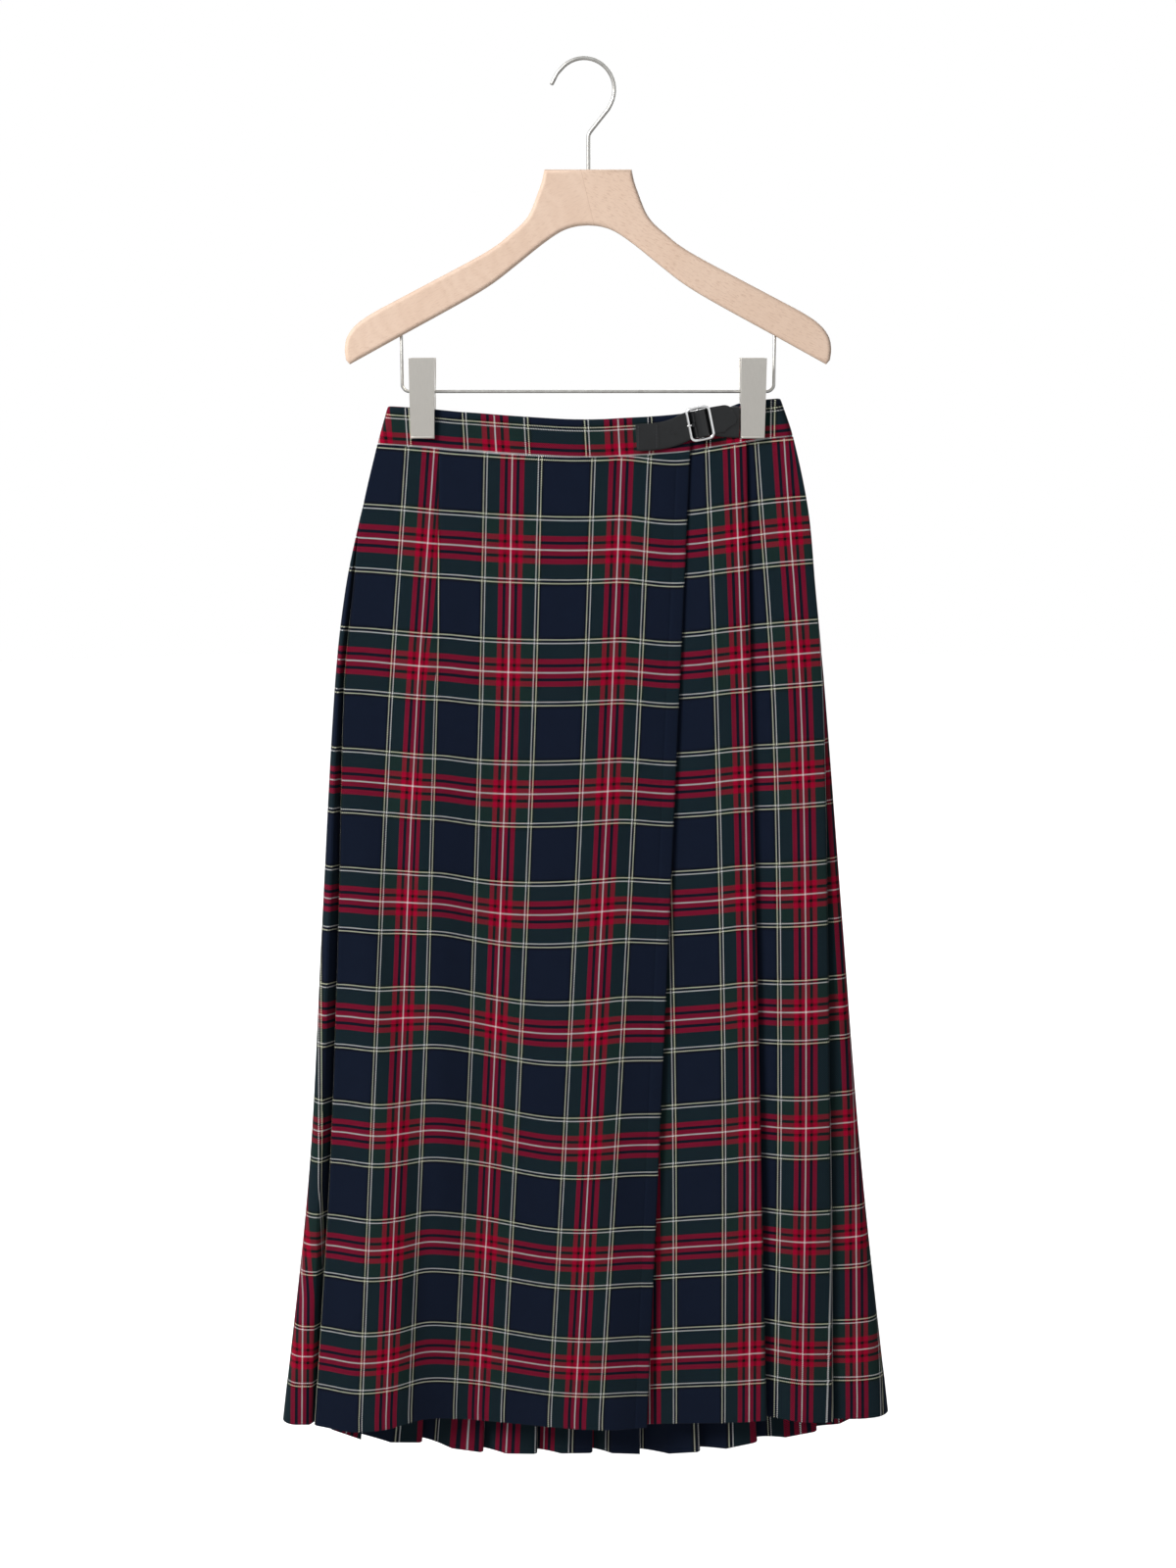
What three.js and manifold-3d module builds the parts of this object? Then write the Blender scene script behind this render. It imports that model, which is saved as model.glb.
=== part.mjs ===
// A long tartan wrap skirt, hung by two clips from a wooden hanger.
// Millimetres, +Z up, +X to the right of someone facing the front, +Y away from them.
// The origin is the point inside the top of the hook where it rests on a rail.
import * as THREE from 'three';
import { mergeVertices } from 'three/addons/utils/BufferGeometryUtils.js';
import Module from 'manifold-3d';

const wasm = await Module();
wasm.setup();

// Driving dimensions
const clothLength = 860; // waist seam to hem
const bandHeight = 31;
const wall = 1.5; // cloth of the panels
const bandWall = 3; // the band is folded over a stiffener
const seamGap = 0.3;
const hangerMiddle = 3.2; // the hanger's middle, right of the point where the hook rests
const woodThickness = 12;
const hookWire = 3.3;
const barWire = 2.7;
const barHeight = -264.9;
const barHalfWidth = 154.4;
const barBend = 6;
const leatherThickness = 1.8;
const strapWidth = 22.6;
const clipWidth = 21.4;
const clipPlate = 1.2;
const clipCentres = { clip_left: -137.4, clip_right: 136.8 };

// The outline, level by level. down is measured along the cloth from the waist seam; left and right
// are the sides, apron is the fold at the apron's left, second is the fold of the second pleat, and
// half is half the thickness of the hanging skirt at its sides.
const outline = [
  { down: -31, left: -166.7, right: 160.1, apron: -166.7, second: 160.1, half: 6.3 },
  { down: 0, left: -175.8, right: 171, apron: -175.8, second: 171, half: 6.3 },
  { down: 60, left: -191.5, right: 185, apron: -190.4, second: 184.6, half: 7 },
  { down: 120, left: -205, right: 191.8, apron: -198.3, second: 191.2, half: 8 },
  { down: 200, left: -215.4, right: 200.8, apron: -207, second: 199.2, half: 9 },
  { down: 410, left: -230.8, right: 220.8, apron: -215.8, second: 207, half: 12 },
  { down: 630, left: -246.6, right: 242, apron: -227.5, second: 213.4, half: 14 },
  { down: 860, left: -274.8, right: 270.5, apron: -245, second: 219.3, half: 16 },
];

// The front, from its left side (-1) to its right (1): the height of the waist seam, and at the hem
// how far the cloth stands back from a flat front and how far it drops.
const front = [
  { across: -1, seam: -308.5, back: 0, drop: -9 },
  { across: -0.9, seam: -309.5, back: -1, drop: -7 },
  { across: -0.76, seam: -311, back: -9, drop: -8.5 },
  { across: -0.65, seam: -312.8, back: -9, drop: -4 },
  { across: -0.54, seam: -314, back: 0, drop: 1 },
  { across: -0.41, seam: -315.7, back: 11, drop: -1 },
  { across: -0.25, seam: -317.5, back: 8, drop: -1.5 },
  { across: -0.07, seam: -319.1, back: 1, drop: -1.5 },
  { across: 0.08, seam: -319.1, back: -2, drop: -2 },
  { across: 0.2, seam: -318, back: 3, drop: -3 },
  { across: 0.34, seam: -316.8, back: 3, drop: -1.5 },
  { across: 0.5, seam: -314.5, back: 0, drop: 0 },
  { across: 0.6, seam: -311.5, back: -3, drop: 0 },
  { across: 0.74, seam: -307.5, back: -2, drop: -6 },
  { across: 0.85, seam: -304.5, back: -1, drop: -9 },
  { across: 1, seam: -302, back: 0, drop: -8 },
];

// The back's knife pleats, from the right side to the left: where each fold lies across the back.
const backFolds = [0.84, 0.663, 0.465, 0.275, 0.085, -0.085, -0.27, -0.45, -0.655, -0.845];
const backBulge = 16; // how much fuller the back is at the middle of its hem
const hemSwing = -8; // the hem hangs this far in front of the waist
const waistSag = 32; // the back of the band hangs this far below the front between the clips
const hemSag = 42;

const lapAtWaist = 84.9;
const lapAtHem = 52.6;
const firstFoldAtWaist = 132.3;
const firstFoldAtHem = 160;
const underEndAtWaist = -146;
const underEndAtHem = -203;

const stops = [0, 25, 60, 110, 170, 240, 320, 410, 500, 590, 680, 760, 820, clothLength];
const bandStops = [-bandHeight, -bandHeight / 2, -seamGap];

const mix = (a, b, t) => a + (b - a) * t;
const clamp = (t) => Math.min(1, Math.max(0, t));

// One column of a table at any place along it, on a smooth curve through its rows.
function read(rows, key, column, at) {
  const last = rows.length - 1;
  let i = rows.findIndex((row) => row[key] > at) - 1;
  if (i < 0) i = at <= rows[0][key] ? 0 : last - 1;
  const slope = (k) => {
    const a = rows[Math.max(0, k - 1)];
    const b = rows[Math.min(last, k + 1)];
    return (b[column] - a[column]) / (b[key] - a[key]);
  };
  const width = rows[i + 1][key] - rows[i][key];
  const t = clamp((at - rows[i][key]) / width);
  const rise = rows[i + 1][column] - rows[i][column];
  const early = slope(i) * width;
  const late = slope(i + 1) * width;
  return rows[i][column] + t * (early + t * (3 * rise - 2 * early - late + t * (early + late - 2 * rise)));
}

// Everything that a level of the skirt is measured from.
function level(down) {
  const at = (column) => read(outline, 'down', column, down);
  const lowered = clamp(down / clothLength);
  const left = at('left');
  const right = at('right');
  const layer = wall + 0.45 + 3.55 * lowered; // from one layer of a pleat to the next
  return {
    down, lowered, left, right, layer,
    apron: at('apron'),
    second: at('second'),
    half: at('half'),
    middle: (left + right) / 2,
    reach: (right - left) / 2,
    fullness: lowered ** 1.4,
    swing: hemSwing * lowered,
    lap: mix(lapAtWaist, lapAtHem, lowered),
    first: mix(firstFoldAtWaist, firstFoldAtHem, lowered),
    tuck: mix(16, 26, lowered), // how far a pleat reaches behind its fold
    underEnd: mix(underEndAtWaist, underEndAtHem, lowered),
    bend: layer / 2,
  };
}

function heightAt(l, x, behind) {
  const across = (x - l.middle) / l.reach;
  const seam = read(front, 'across', 'seam', across);
  const z = seam + read(front, 'across', 'drop', across) * l.lowered - l.down;
  if (!behind) return z;
  const inner = Math.min(1, Math.abs(x - l.middle) / (l.reach - l.half));
  const atWaist = waistSag * (1 - Math.min(1, inner / 0.84) ** 2) ** 1.5;
  return z - mix(atWaist, hemSag * (1 - inner ** 4), l.lowered);
}

// A station is a function of the level that gives a point in the middle of the cloth and the way its
// right side faces. inset is the depth of the point below the outer face of the skirt; ahead and
// inward give the facing, along the way that the cloth runs and towards the hollow.
function onFront(xAt, insetAt, ahead = 0, inward = -1) {
  return (l) => {
    const x = xAt(l);
    const across = (x - l.middle) / l.reach;
    const y = l.swing - l.half + read(front, 'across', 'back', across) * l.fullness + insetAt(l);
    const n = new THREE.Vector3(ahead, inward, 0).normalize();
    return { p: new THREE.Vector3(x, y, heightAt(l, x, false)), n };
  };
}

function onBack(xAt, insetAt, ahead = 0, inward = -1) {
  return (l) => {
    const x = xAt(l);
    const across = (x - l.middle) / l.reach;
    const ripple = 2.5 * Math.sin(9 * across + 1) + backBulge * (1 - across ** 2);
    const y = l.swing + l.half + ripple * l.fullness - insetAt(l);
    const n = new THREE.Vector3(-ahead, -inward, 0).normalize();
    return { p: new THREE.Vector3(x, y, heightAt(l, x, true)), n };
  };
}

// A side of the skirt, round a half circle: 0 degrees points right and 90 points back.
function onSide(side, degreesAt, insetAt) {
  return (l) => {
    const angle = THREE.MathUtils.degToRad(degreesAt(l));
    const radius = l.half - insetAt(l);
    const centre = side > 0 ? l.right - l.half : l.left + l.half;
    const x = centre + radius * Math.cos(angle);
    const n = new THREE.Vector3(Math.cos(angle), Math.sin(angle), 0);
    return { p: new THREE.Vector3(x, l.swing + radius * Math.sin(angle), heightAt(l, x, false)), n };
  };
}

// Turns of the cloth, of three stations each. A crease is the fold that shows and a tuck is the
// hidden one behind it; both follow the way the pleats run.
const turnAngles = [-Math.PI / 2, 0, Math.PI / 2];

function crease(on, side, xAt) {
  return turnAngles.map((a) => on(
    (l) => xAt(l) + side * (l.bend * (Math.cos(a) - 1) - wall / 2),
    (l) => wall / 2 + l.bend * (1 + Math.sin(a)),
    Math.cos(a), Math.sin(a),
  ));
}

function tuck(on, side, xAt) {
  return turnAngles.map((a) => on(
    (l) => xAt(l) - side * (l.tuck + l.bend * Math.cos(a)),
    (l) => wall / 2 + l.bend * (3 + Math.sin(a)),
    Math.cos(a), -Math.sin(a),
  ));
}

const returnEnd = (on, side, xAt) => tuck(on, side, xAt)[0];
const underlayStart = (on, side, xAt) => tuck(on, side, xAt)[2];
const outer = () => wall / 2;
const deepest = (l) => wall / 2 + 2 * l.layer;

// The stretch that shows between two pleats: it comes out from under one fold, rises, and lies
// flat over the layers behind the next.
function face(on, side, fromAt, toAt) {
  return [
    on((l) => fromAt(l) - side, deepest),
    on((l) => mix(fromAt(l) + side * 4, toAt(l) - side * l.tuck, 0.5), (l) => wall / 2 + l.layer * 0.8),
    on((l) => toAt(l) - side * (l.tuck - 1), outer),
  ];
}

// A wall of cloth or leather along a grid of stations, from its top row to its bottom row.
function wallGeometry(rows, thickness) {
  const lines = rows.length;
  const columns = rows[0].length;
  const positions = [];
  const index = [];
  for (const facing of [1, -1]) {
    for (const row of rows) {
      for (const { p, n } of row) {
        positions.push(...p.clone().addScaledVector(n, facing * thickness / 2).toArray());
      }
    }
  }
  const outside = (i, j) => i * columns + j;
  const inside = (i, j) => lines * columns + i * columns + j;
  const quad = (a, b, c, d) => index.push(a, b, c, a, c, d);
  for (let i = 0; i < lines - 1; i += 1) {
    for (let j = 0; j < columns - 1; j += 1) {
      quad(outside(i, j), outside(i + 1, j), outside(i + 1, j + 1), outside(i, j + 1));
      quad(inside(i, j), inside(i, j + 1), inside(i + 1, j + 1), inside(i + 1, j));
    }
    quad(inside(i + 1, 0), outside(i + 1, 0), outside(i, 0), inside(i, 0));
    const end = columns - 1;
    quad(outside(i + 1, end), inside(i + 1, end), inside(i, end), outside(i, end));
  }
  for (let j = 0; j < columns - 1; j += 1) {
    quad(outside(0, j), outside(0, j + 1), inside(0, j + 1), inside(0, j));
    quad(outside(lines - 1, j), inside(lines - 1, j), inside(lines - 1, j + 1), outside(lines - 1, j + 1));
  }
  const geometry = new THREE.BufferGeometry();
  geometry.setAttribute('position', new THREE.Float32BufferAttribute(positions, 3));
  geometry.setIndex(index);
  return geometry;
}

const clothGeometry = (stations, downs, thickness) => {
  const rows = downs.map((down) => stations.map((station) => station(level(down))));
  return wallGeometry(rows, thickness);
};

// Round wire along points that lie in a plane; across points out of that plane.
function wireGeometry(points, radius, sides, across) {
  const rings = points.map((point, i) => {
    const next = points[Math.min(i + 1, points.length - 1)];
    const ahead = next.clone().sub(points[Math.max(i - 1, 0)]).normalize();
    const sideways = across.clone().cross(ahead);
    return Array.from({ length: sides }, (_, k) => {
      const angle = (2 * Math.PI * k) / sides;
      return point.clone()
        .addScaledVector(sideways, radius * Math.cos(angle))
        .addScaledVector(across, radius * Math.sin(angle));
    });
  });
  const positions = rings.flat().flatMap((p) => p.toArray());
  const index = [];
  const at = (ring, k) => ring * sides + (k % sides);
  for (let ring = 0; ring < rings.length - 1; ring += 1) {
    for (let k = 0; k < sides; k += 1) {
      index.push(at(ring, k), at(ring, k + 1), at(ring + 1, k + 1));
      index.push(at(ring, k), at(ring + 1, k + 1), at(ring + 1, k));
    }
  }
  for (let k = 1; k < sides - 1; k += 1) {
    index.push(at(0, 0), at(0, k + 1), at(0, k));
    index.push(at(rings.length - 1, 0), at(rings.length - 1, k), at(rings.length - 1, k + 1));
  }
  const geometry = new THREE.BufferGeometry();
  geometry.setAttribute('position', new THREE.Float32BufferAttribute(positions, 3));
  geometry.setIndex(index);
  return geometry;
}

// Cutting and joining, for holes in wood and leather and for the folded plates of the clips.
function toSolid(geometry) {
  const bare = geometry.clone();
  bare.deleteAttribute('normal');
  bare.deleteAttribute('uv');
  const merged = mergeVertices(bare, 1e-4);
  const mesh = new wasm.Mesh({
    numProp: 3,
    vertProperties: Float32Array.from(merged.attributes.position.array),
    triVerts: Uint32Array.from(merged.index.array),
  });
  mesh.merge();
  return new wasm.Manifold(mesh);
}

function toGeometry(solid) {
  const mesh = solid.getMesh();
  const positions = [];
  for (let i = 0; i < mesh.numVert; i += 1) {
    for (let k = 0; k < 3; k += 1) positions.push(mesh.vertProperties[i * mesh.numProp + k]);
  }
  const geometry = new THREE.BufferGeometry();
  geometry.setAttribute('position', new THREE.Float32BufferAttribute(positions, 3));
  geometry.setIndex([...mesh.triVerts]);
  return geometry;
}

const cut = (geometry, ...tools) => toGeometry(
  tools.reduce((solid, tool) => solid.subtract(toSolid(tool)), toSolid(geometry)),
);
const join = (geometry, ...others) => toGeometry(
  others.reduce((solid, other) => solid.add(toSolid(other)), toSolid(geometry)),
);

// A flat outline in the plane of x and z, made thick along y about its middle.
function slab(points, thickness, bevel) {
  const shape = new THREE.Shape(points.map(([x, z]) => new THREE.Vector2(x, z)));
  const geometry = new THREE.ExtrudeGeometry(shape, {
    depth: thickness - 2 * bevel,
    bevelEnabled: bevel > 0,
    bevelThickness: bevel,
    bevelSize: bevel,
    bevelOffset: -bevel,
    bevelSegments: 2,
  });
  geometry.translate(0, 0, bevel - thickness / 2);
  geometry.rotateX(Math.PI / 2);
  return geometry;
}

const upright = (radius, length, x, y, z) => new THREE.CylinderGeometry(radius, radius, length, 12)
  .rotateX(Math.PI / 2).translate(x, y, z);

const cloth = new THREE.MeshStandardMaterial({ color: 0x1d3338, roughness: 0.9, metalness: 0 });
const bandCloth = new THREE.MeshStandardMaterial({ color: 0x5a1f32, roughness: 0.9, metalness: 0 });
const leather = new THREE.MeshStandardMaterial({ color: 0x1b1c1e, roughness: 0.5, metalness: 0 });
const beech = new THREE.MeshStandardMaterial({ color: 0xe3c8b0, roughness: 0.6, metalness: 0 });
const nickel = new THREE.MeshStandardMaterial({ color: 0xb8b5ab, roughness: 0.35, metalness: 1 });
const brightNickel = new THREE.MeshStandardMaterial({ color: 0xe2e0da, roughness: 0.15, metalness: 1 });

const skirt = new THREE.Group();
const hanger = new THREE.Group();
const hung = new THREE.Group();
hung.add(skirt, hanger);
hung.position.x = hangerMiddle;

function piece(group, name, geometry, material) {
  const mesh = new THREE.Mesh(geometry, material);
  mesh.name = name;
  group.add(mesh);
}

// Places that several panels share
const firstFold = (l) => l.first;
const secondFold = (l) => l.second;
const backFold = (k) => (l) => l.middle + backFolds[k] * l.reach;
const valleyWidth = (l) => 1 + 5.5 * l.lowered;
const stripRoom = (l) => l.apron - valleyWidth(l) - l.left; // what shows of the left panel

const inSteps = (steps, station) => Array.from({ length: steps + 1 }, (_, i) => station(i / steps));

function underApron() {
  const hidden = (l) => wall / 2 + l.layer;
  const steps = 8;
  const behind = inSteps(steps, (t) => onFront((l) => mix(l.underEnd, l.lap + 2, t), hidden));
  return [
    ...behind,
    onFront((l) => mix(l.lap, l.first - l.tuck, 0.6), (l) => wall / 2 + l.layer * 0.35),
    onFront((l) => l.first - l.tuck + 1, outer),
    ...crease(onFront, 1, firstFold),
    returnEnd(onFront, 1, firstFold),
  ];
}

function rightPanel() {
  const clear = (l) => clamp(1 - (l.right - l.half - l.second) / 50); // how much the fold crowds the side
  const hiddenTip = (l) => 1.5 * clamp(1 - l.down / 200);
  return [
    underlayStart(onFront, 1, firstFold),
    ...face(onFront, 1, firstFold, secondFold),
    onFront((l) => l.second - 6, outer),
    ...crease(onFront, 1, secondFold),
    onFront((l) => l.second - 6, (l) => wall / 2 + l.layer, 0, 1),
    ...tuck(onFront, 1, secondFold),
    onSide(1, () => -90, (l) => wall / 2 + 2 * l.layer * clear(l)),
    onSide(1, () => -45, (l) => wall / 2 + 1.6 * l.layer * clear(l)),
    onSide(1, () => 0, (l) => wall / 2 + hiddenTip(l)),
    onSide(1, () => 45, (l) => wall / 2 + hiddenTip(l)),
    onSide(1, () => 90, outer),
    onBack((l) => mix(l.right - l.half, backFold(0)(l), 0.5), outer),
    ...crease(onBack, -1, backFold(0)),
    returnEnd(onBack, -1, backFold(0)),
  ];
}

function backPleats(first, last) {
  const stations = [underlayStart(onBack, -1, backFold(first - 1))];
  for (let k = first; k <= last; k += 1) {
    if (k > first) stations.push(...tuck(onBack, -1, backFold(k - 1)));
    stations.push(...face(onBack, -1, backFold(k - 1), backFold(k)));
    stations.push(...crease(onBack, -1, backFold(k)));
  }
  stations.push(returnEnd(onBack, -1, backFold(last)));
  return stations;
}

// The left panel leaves the last back pleat, turns round the side, shows as a strip and dives into
// the valley beside the apron, behind which it ends.
function leftPanel() {
  const last = backFold(backFolds.length - 1);
  const hiddenTip = (l) => 1.5 * clamp(1 - l.down / 60);
  const leastTurn = 9;
  const turned = (l) => {
    const degrees = Math.acos(clamp(1 - Math.max(0, stripRoom(l)) / l.half)) * THREE.MathUtils.RAD2DEG;
    return Math.max(leastTurn, degrees);
  };
  const past = (l) => Math.max(0, stripRoom(l) - l.half);
  const round = (part) => onSide(-1, (l) => 180 + part * turned(l), (l) => wall / 2 + hiddenTip(l));
  const shoulder = (l) => {
    const station = round(1)(l);
    station.p.x += past(l);
    return station;
  };
  const brink = (l) => {
    const start = shoulder(l);
    const end = floor(0)(l);
    const fall = end.p.clone().sub(start.p);
    const n = new THREE.Vector3(fall.y, -fall.x, 0).normalize();
    return { p: start.p.clone().lerp(end.p, 0.5), n };
  };
  const floorStart = (l) => Math.max(l.apron + 1, l.left + 2 * wall + hiddenTip(l) + 1);
  const floor = (part) => onFront((l) => mix(floorStart(l), l.apron + l.tuck, part), deepest);
  return [
    underlayStart(onBack, -1, last),
    onBack((l) => last(l) + 1, deepest),
    onBack((l) => mix(last(l), l.left + l.half, 0.6), (l) => wall / 2 + l.layer * 0.8),
    onSide(-1, () => 90, (l) => wall / 2 + hiddenTip(l)),
    onSide(-1, () => 135, (l) => wall / 2 + hiddenTip(l)),
    round(0),
    round(0.5),
    shoulder,
    brink,
    floor(0),
    floor(0.5),
    floor(1),
  ];
}

// The over apron starts behind its own left fold and ends at its free lap edge.
function overApron() {
  const steps = 17;
  const tipTurn = [Math.PI / 2, 0, -Math.PI / 2].map((a) => onFront(
    (l) => l.apron + wall / 2 + l.bend * (1 - Math.cos(a)),
    (l) => wall / 2 + l.bend * (1 + Math.sin(a)),
    -Math.cos(a), Math.sin(a),
  ));
  const flat = inSteps(steps, (t) => onFront((l) => mix(l.apron + 6, l.lap, t), outer)).slice(1);
  return [
    onFront((l) => l.apron + l.tuck, (l) => wall / 2 + l.layer, 0, 1),
    onFront((l) => l.apron + l.tuck / 2, (l) => wall / 2 + l.layer, 0, 1),
    ...tipTurn,
    ...flat,
  ];
}

const midBand = () => bandWall / 2;
const bandSplit = 150; // where the back of the band meets its two fronts, either side of the middle

function bandOver() {
  const steps = 17;
  const sides = [90, 135, 180, 225, 270].map((a) => onSide(-1, () => a, midBand));
  const across = inSteps(steps, (t) => onFront((l) => mix(l.left + l.half, l.lap, t), midBand));
  return [onBack(() => -bandSplit, midBand), ...sides, ...across.slice(1)];
}

function bandBack() {
  const steps = 25;
  return inSteps(steps, (t) => onBack(() => mix(bandSplit - seamGap, seamGap - bandSplit, t), midBand));
}

function bandUnder() {
  const hidden = () => bandWall * 1.5 + 0.4;
  const steps = 12;
  const behind = inSteps(steps, (t) => onFront((l) => mix(-bandSplit, l.lap + 2, t), hidden));
  const shown = [22, 45, 66].map((past) => onFront((l) => l.lap + past, midBand));
  const sides = [-90, -45, 0, 45, 90].map((a) => onSide(1, () => a, midBand));
  return [...behind, ...shown, ...sides, onBack(() => bandSplit, midBand)];
}

// The strap and the chape are flat leather. A row gives the middle of the leather: how far along the
// buckle's own axis or across the band, how far in front, how high, and the width there.
function leatherGeometry(line) {
  const points = line.map(([x, y, z]) => new THREE.Vector3(x, y, z));
  const rows = [0.5, -0.5].map((half) => points.map((point, i) => {
    const ahead = points[Math.min(i + 1, points.length - 1)].clone().sub(points[Math.max(i - 1, 0)]);
    const upward = new THREE.Vector3(-ahead.z, 0, ahead.x).normalize();
    const n = new THREE.Vector3(ahead.y, -Math.hypot(ahead.x, ahead.z), 0).normalize();
    return { p: point.clone().addScaledVector(upward, half * line[i][3]), n };
  }));
  return wallGeometry(rows, leatherThickness);
}

// The buckle stands turned a little against the band, so that its top leans to the left.
const buckle = { x: 93, z: -290.8, tilt: THREE.MathUtils.degToRad(12), width: 18, height: 25.8, wire: 2.2 };
const bandFace = -6.3;
const onBand = bandFace - seamGap - leatherThickness / 2; // middle of leather lying on the band
const onLeather = onBand - leatherThickness - seamGap; // middle of leather lying on other leather
const leftSide = onBand - leatherThickness / 2 - seamGap - buckle.wire / 2; // middles of the frame's wire
const rightSide = onLeather - leatherThickness / 2 - seamGap - buckle.wire / 2;
const centreBar = (leftSide + rightSide) / 2 + 0.25;
const overBar = centreBar - buckle.wire / 2 - seamGap - leatherThickness / 2; // the chape over its bar
const humpTop = overBar - leatherThickness - seamGap; // the strap over the chape
const buckleSpot = (along, y, width = strapWidth) => [
  buckle.x + along * Math.cos(buckle.tilt), y, buckle.z + along * Math.sin(buckle.tilt), width,
];

const strapLine = [
  [40.7, onBand, -302.6, strapWidth],
  [58.7, onBand, -301.3, strapWidth],
  [73.3, onBand, -297.6, strapWidth],
  buckleSpot(-10.5, onBand),
  buckleSpot(-7.4, onBand),
  buckleSpot(-5.4, mix(onBand, humpTop, 0.3)),
  buckleSpot(-3.2, mix(onBand, humpTop, 0.78)),
  buckleSpot(-1.6, humpTop + 0.1),
  buckleSpot(0, humpTop - 0.1),
  buckleSpot(1.8, humpTop + 0.3),
  buckleSpot(3.6, humpTop + 1.6),
  buckleSpot(5.6, mix(onLeather, humpTop, 0.3)),
  buckleSpot(7.4, onLeather),
  buckleSpot(10.5, onLeather),
  [112, onLeather, -287.6, strapWidth],
  [119, onLeather, -286.8, strapWidth - 2],
];
const turnRadius = centreBar - overBar;
const chapeLine = [
  buckleSpot(-0.6, overBar),
  buckleSpot(turnRadius * 0.7, centreBar - turnRadius * 0.7),
  buckleSpot(turnRadius, centreBar),
  buckleSpot(turnRadius + 1.5, onBand - 1),
  buckleSpot(turnRadius + 3.8, onBand),
  buckleSpot(10.5, onBand, strapWidth),
  [112, onBand, -288.2, strapWidth + 2],
  [124.8, onBand, -287.2, strapWidth + 2],
];

const alongY = (radius, length, x, y, z) => new THREE.CylinderGeometry(radius, radius, length, 12)
  .translate(x, y, z);

const punched = { x: 70.4, z: -298.6, radius: 1.15 };
const prongHole = { along: -5.9, radius: 1.5 };
const holeSpot = buckleSpot(prongHole.along, mix(onBand, humpTop, 0.25));
const holeLength = 12;
const strapBody = cut(
  leatherGeometry(strapLine),
  alongY(punched.radius, holeLength, punched.x, onBand, punched.z),
  alongY(prongHole.radius, holeLength, holeSpot[0], holeSpot[1], holeSpot[2]),
);

const anchorThickness = 1;
const anchorFace = onBand - leatherThickness / 2 - seamGap - anchorThickness / 2;
const anchorLine = [
  [39.9, anchorFace, -302.65],
  [58.4, anchorFace, -301.3],
];

function anchorGeometry() {
  const points = anchorLine.map(([x, y, z]) => new THREE.Vector3(x, y, z));
  const rows = [0.5, -0.5].map((half) => points.map((point) => {
    const p = point.clone();
    p.z += half * (strapWidth - 0.4);
    return { p, n: new THREE.Vector3(0, -1, 0) };
  }));
  return wallGeometry(rows, anchorThickness);
}

// The frame is one ring of wire with a bar across its middle, made flat and then turned.
function buckleGeometry() {
  const corner = 3;
  const ring = [];
  const halfWidth = buckle.width / 2;
  const halfHeight = buckle.height / 2;
  for (const [sx, sz, from] of [[1, 1, 0], [-1, 1, 90], [-1, -1, 180], [1, -1, 270]]) {
    for (let k = 0; k <= 3; k += 1) {
      const angle = THREE.MathUtils.degToRad(from + k * 30);
      const x = sx * (halfWidth - corner) + corner * Math.cos(angle);
      const z = sz * (halfHeight - corner) + corner * Math.sin(angle);
      ring.push(new THREE.Vector3(x, mix(leftSide, rightSide, (x / halfWidth + 1) / 2), z));
    }
  }
  const out = new THREE.Vector3(0, 1, 0);
  const sides = 8;
  const rings = ring.map((point, i) => {
    const before = ring[(i - 1 + ring.length) % ring.length];
    const ahead = ring[(i + 1) % ring.length].clone().sub(before).normalize();
    const sideways = out.clone().cross(ahead).normalize();
    return Array.from({ length: sides }, (_, k) => {
      const angle = (2 * Math.PI * k) / sides;
      return point.clone()
        .addScaledVector(sideways, (buckle.wire / 2) * Math.cos(angle))
        .addScaledVector(out, (buckle.wire / 2) * Math.sin(angle));
    });
  });
  const index = [];
  const at = (i, k) => (i % rings.length) * sides + (k % sides);
  for (let i = 0; i < rings.length; i += 1) {
    for (let k = 0; k < sides; k += 1) {
      index.push(at(i, k), at(i, k + 1), at(i + 1, k + 1), at(i, k), at(i + 1, k + 1), at(i + 1, k));
    }
  }
  const loop = new THREE.BufferGeometry();
  const positions = rings.flat().flatMap((p) => p.toArray());
  loop.setAttribute('position', new THREE.Float32BufferAttribute(positions, 3));
  loop.setIndex(index);
  const bar = new THREE.CylinderGeometry(buckle.wire / 2, buckle.wire / 2, buckle.height, 12)
    .rotateX(Math.PI / 2).translate(0, centreBar, 0);
  return join(loop, bar).rotateY(-buckle.tilt).translate(buckle.x, 0, buckle.z);
}

// The prong comes up through its hole and rests over the frame's left side.
function prongGeometry() {
  const radius = 0.85;
  const rest = leftSide - buckle.wire / 2 - seamGap - radius;
  const points = [
    buckleSpot(prongHole.along, onBand - 0.5),
    buckleSpot(prongHole.along, rest + 1.4),
    buckleSpot(prongHole.along - 0.7, rest + 0.35),
    buckleSpot(prongHole.along - 1.9, rest),
    buckleSpot(-11, rest),
  ];
  const across = new THREE.Vector3(-Math.sin(buckle.tilt), 0, Math.cos(buckle.tilt));
  return wireGeometry(points.map(([x, y, z]) => new THREE.Vector3(x, y, z)), radius, 8, across);
}

// Half of the wooden hanger's outline, from the middle of the neck's top round to the middle of the
// underside.
const woodHalf = [
  [35.6, -86.1], [40.7, -103.8], [47, -119.4], [53.6, -128.6], [64.1, -137.7], [76.3, -147.2],
  [97.9, -159.6], [157.3, -190.2], [178.9, -201.6], [191.5, -210.4], [199, -220], [201.2, -230],
  [200.4, -239], [197.4, -242.6], [154.6, -219.5], [103.4, -192], [79.2, -177.6], [60.3, -163.4],
  [38.7, -146.4], [22.6, -135.6], [10.5, -131.4],
];

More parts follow.
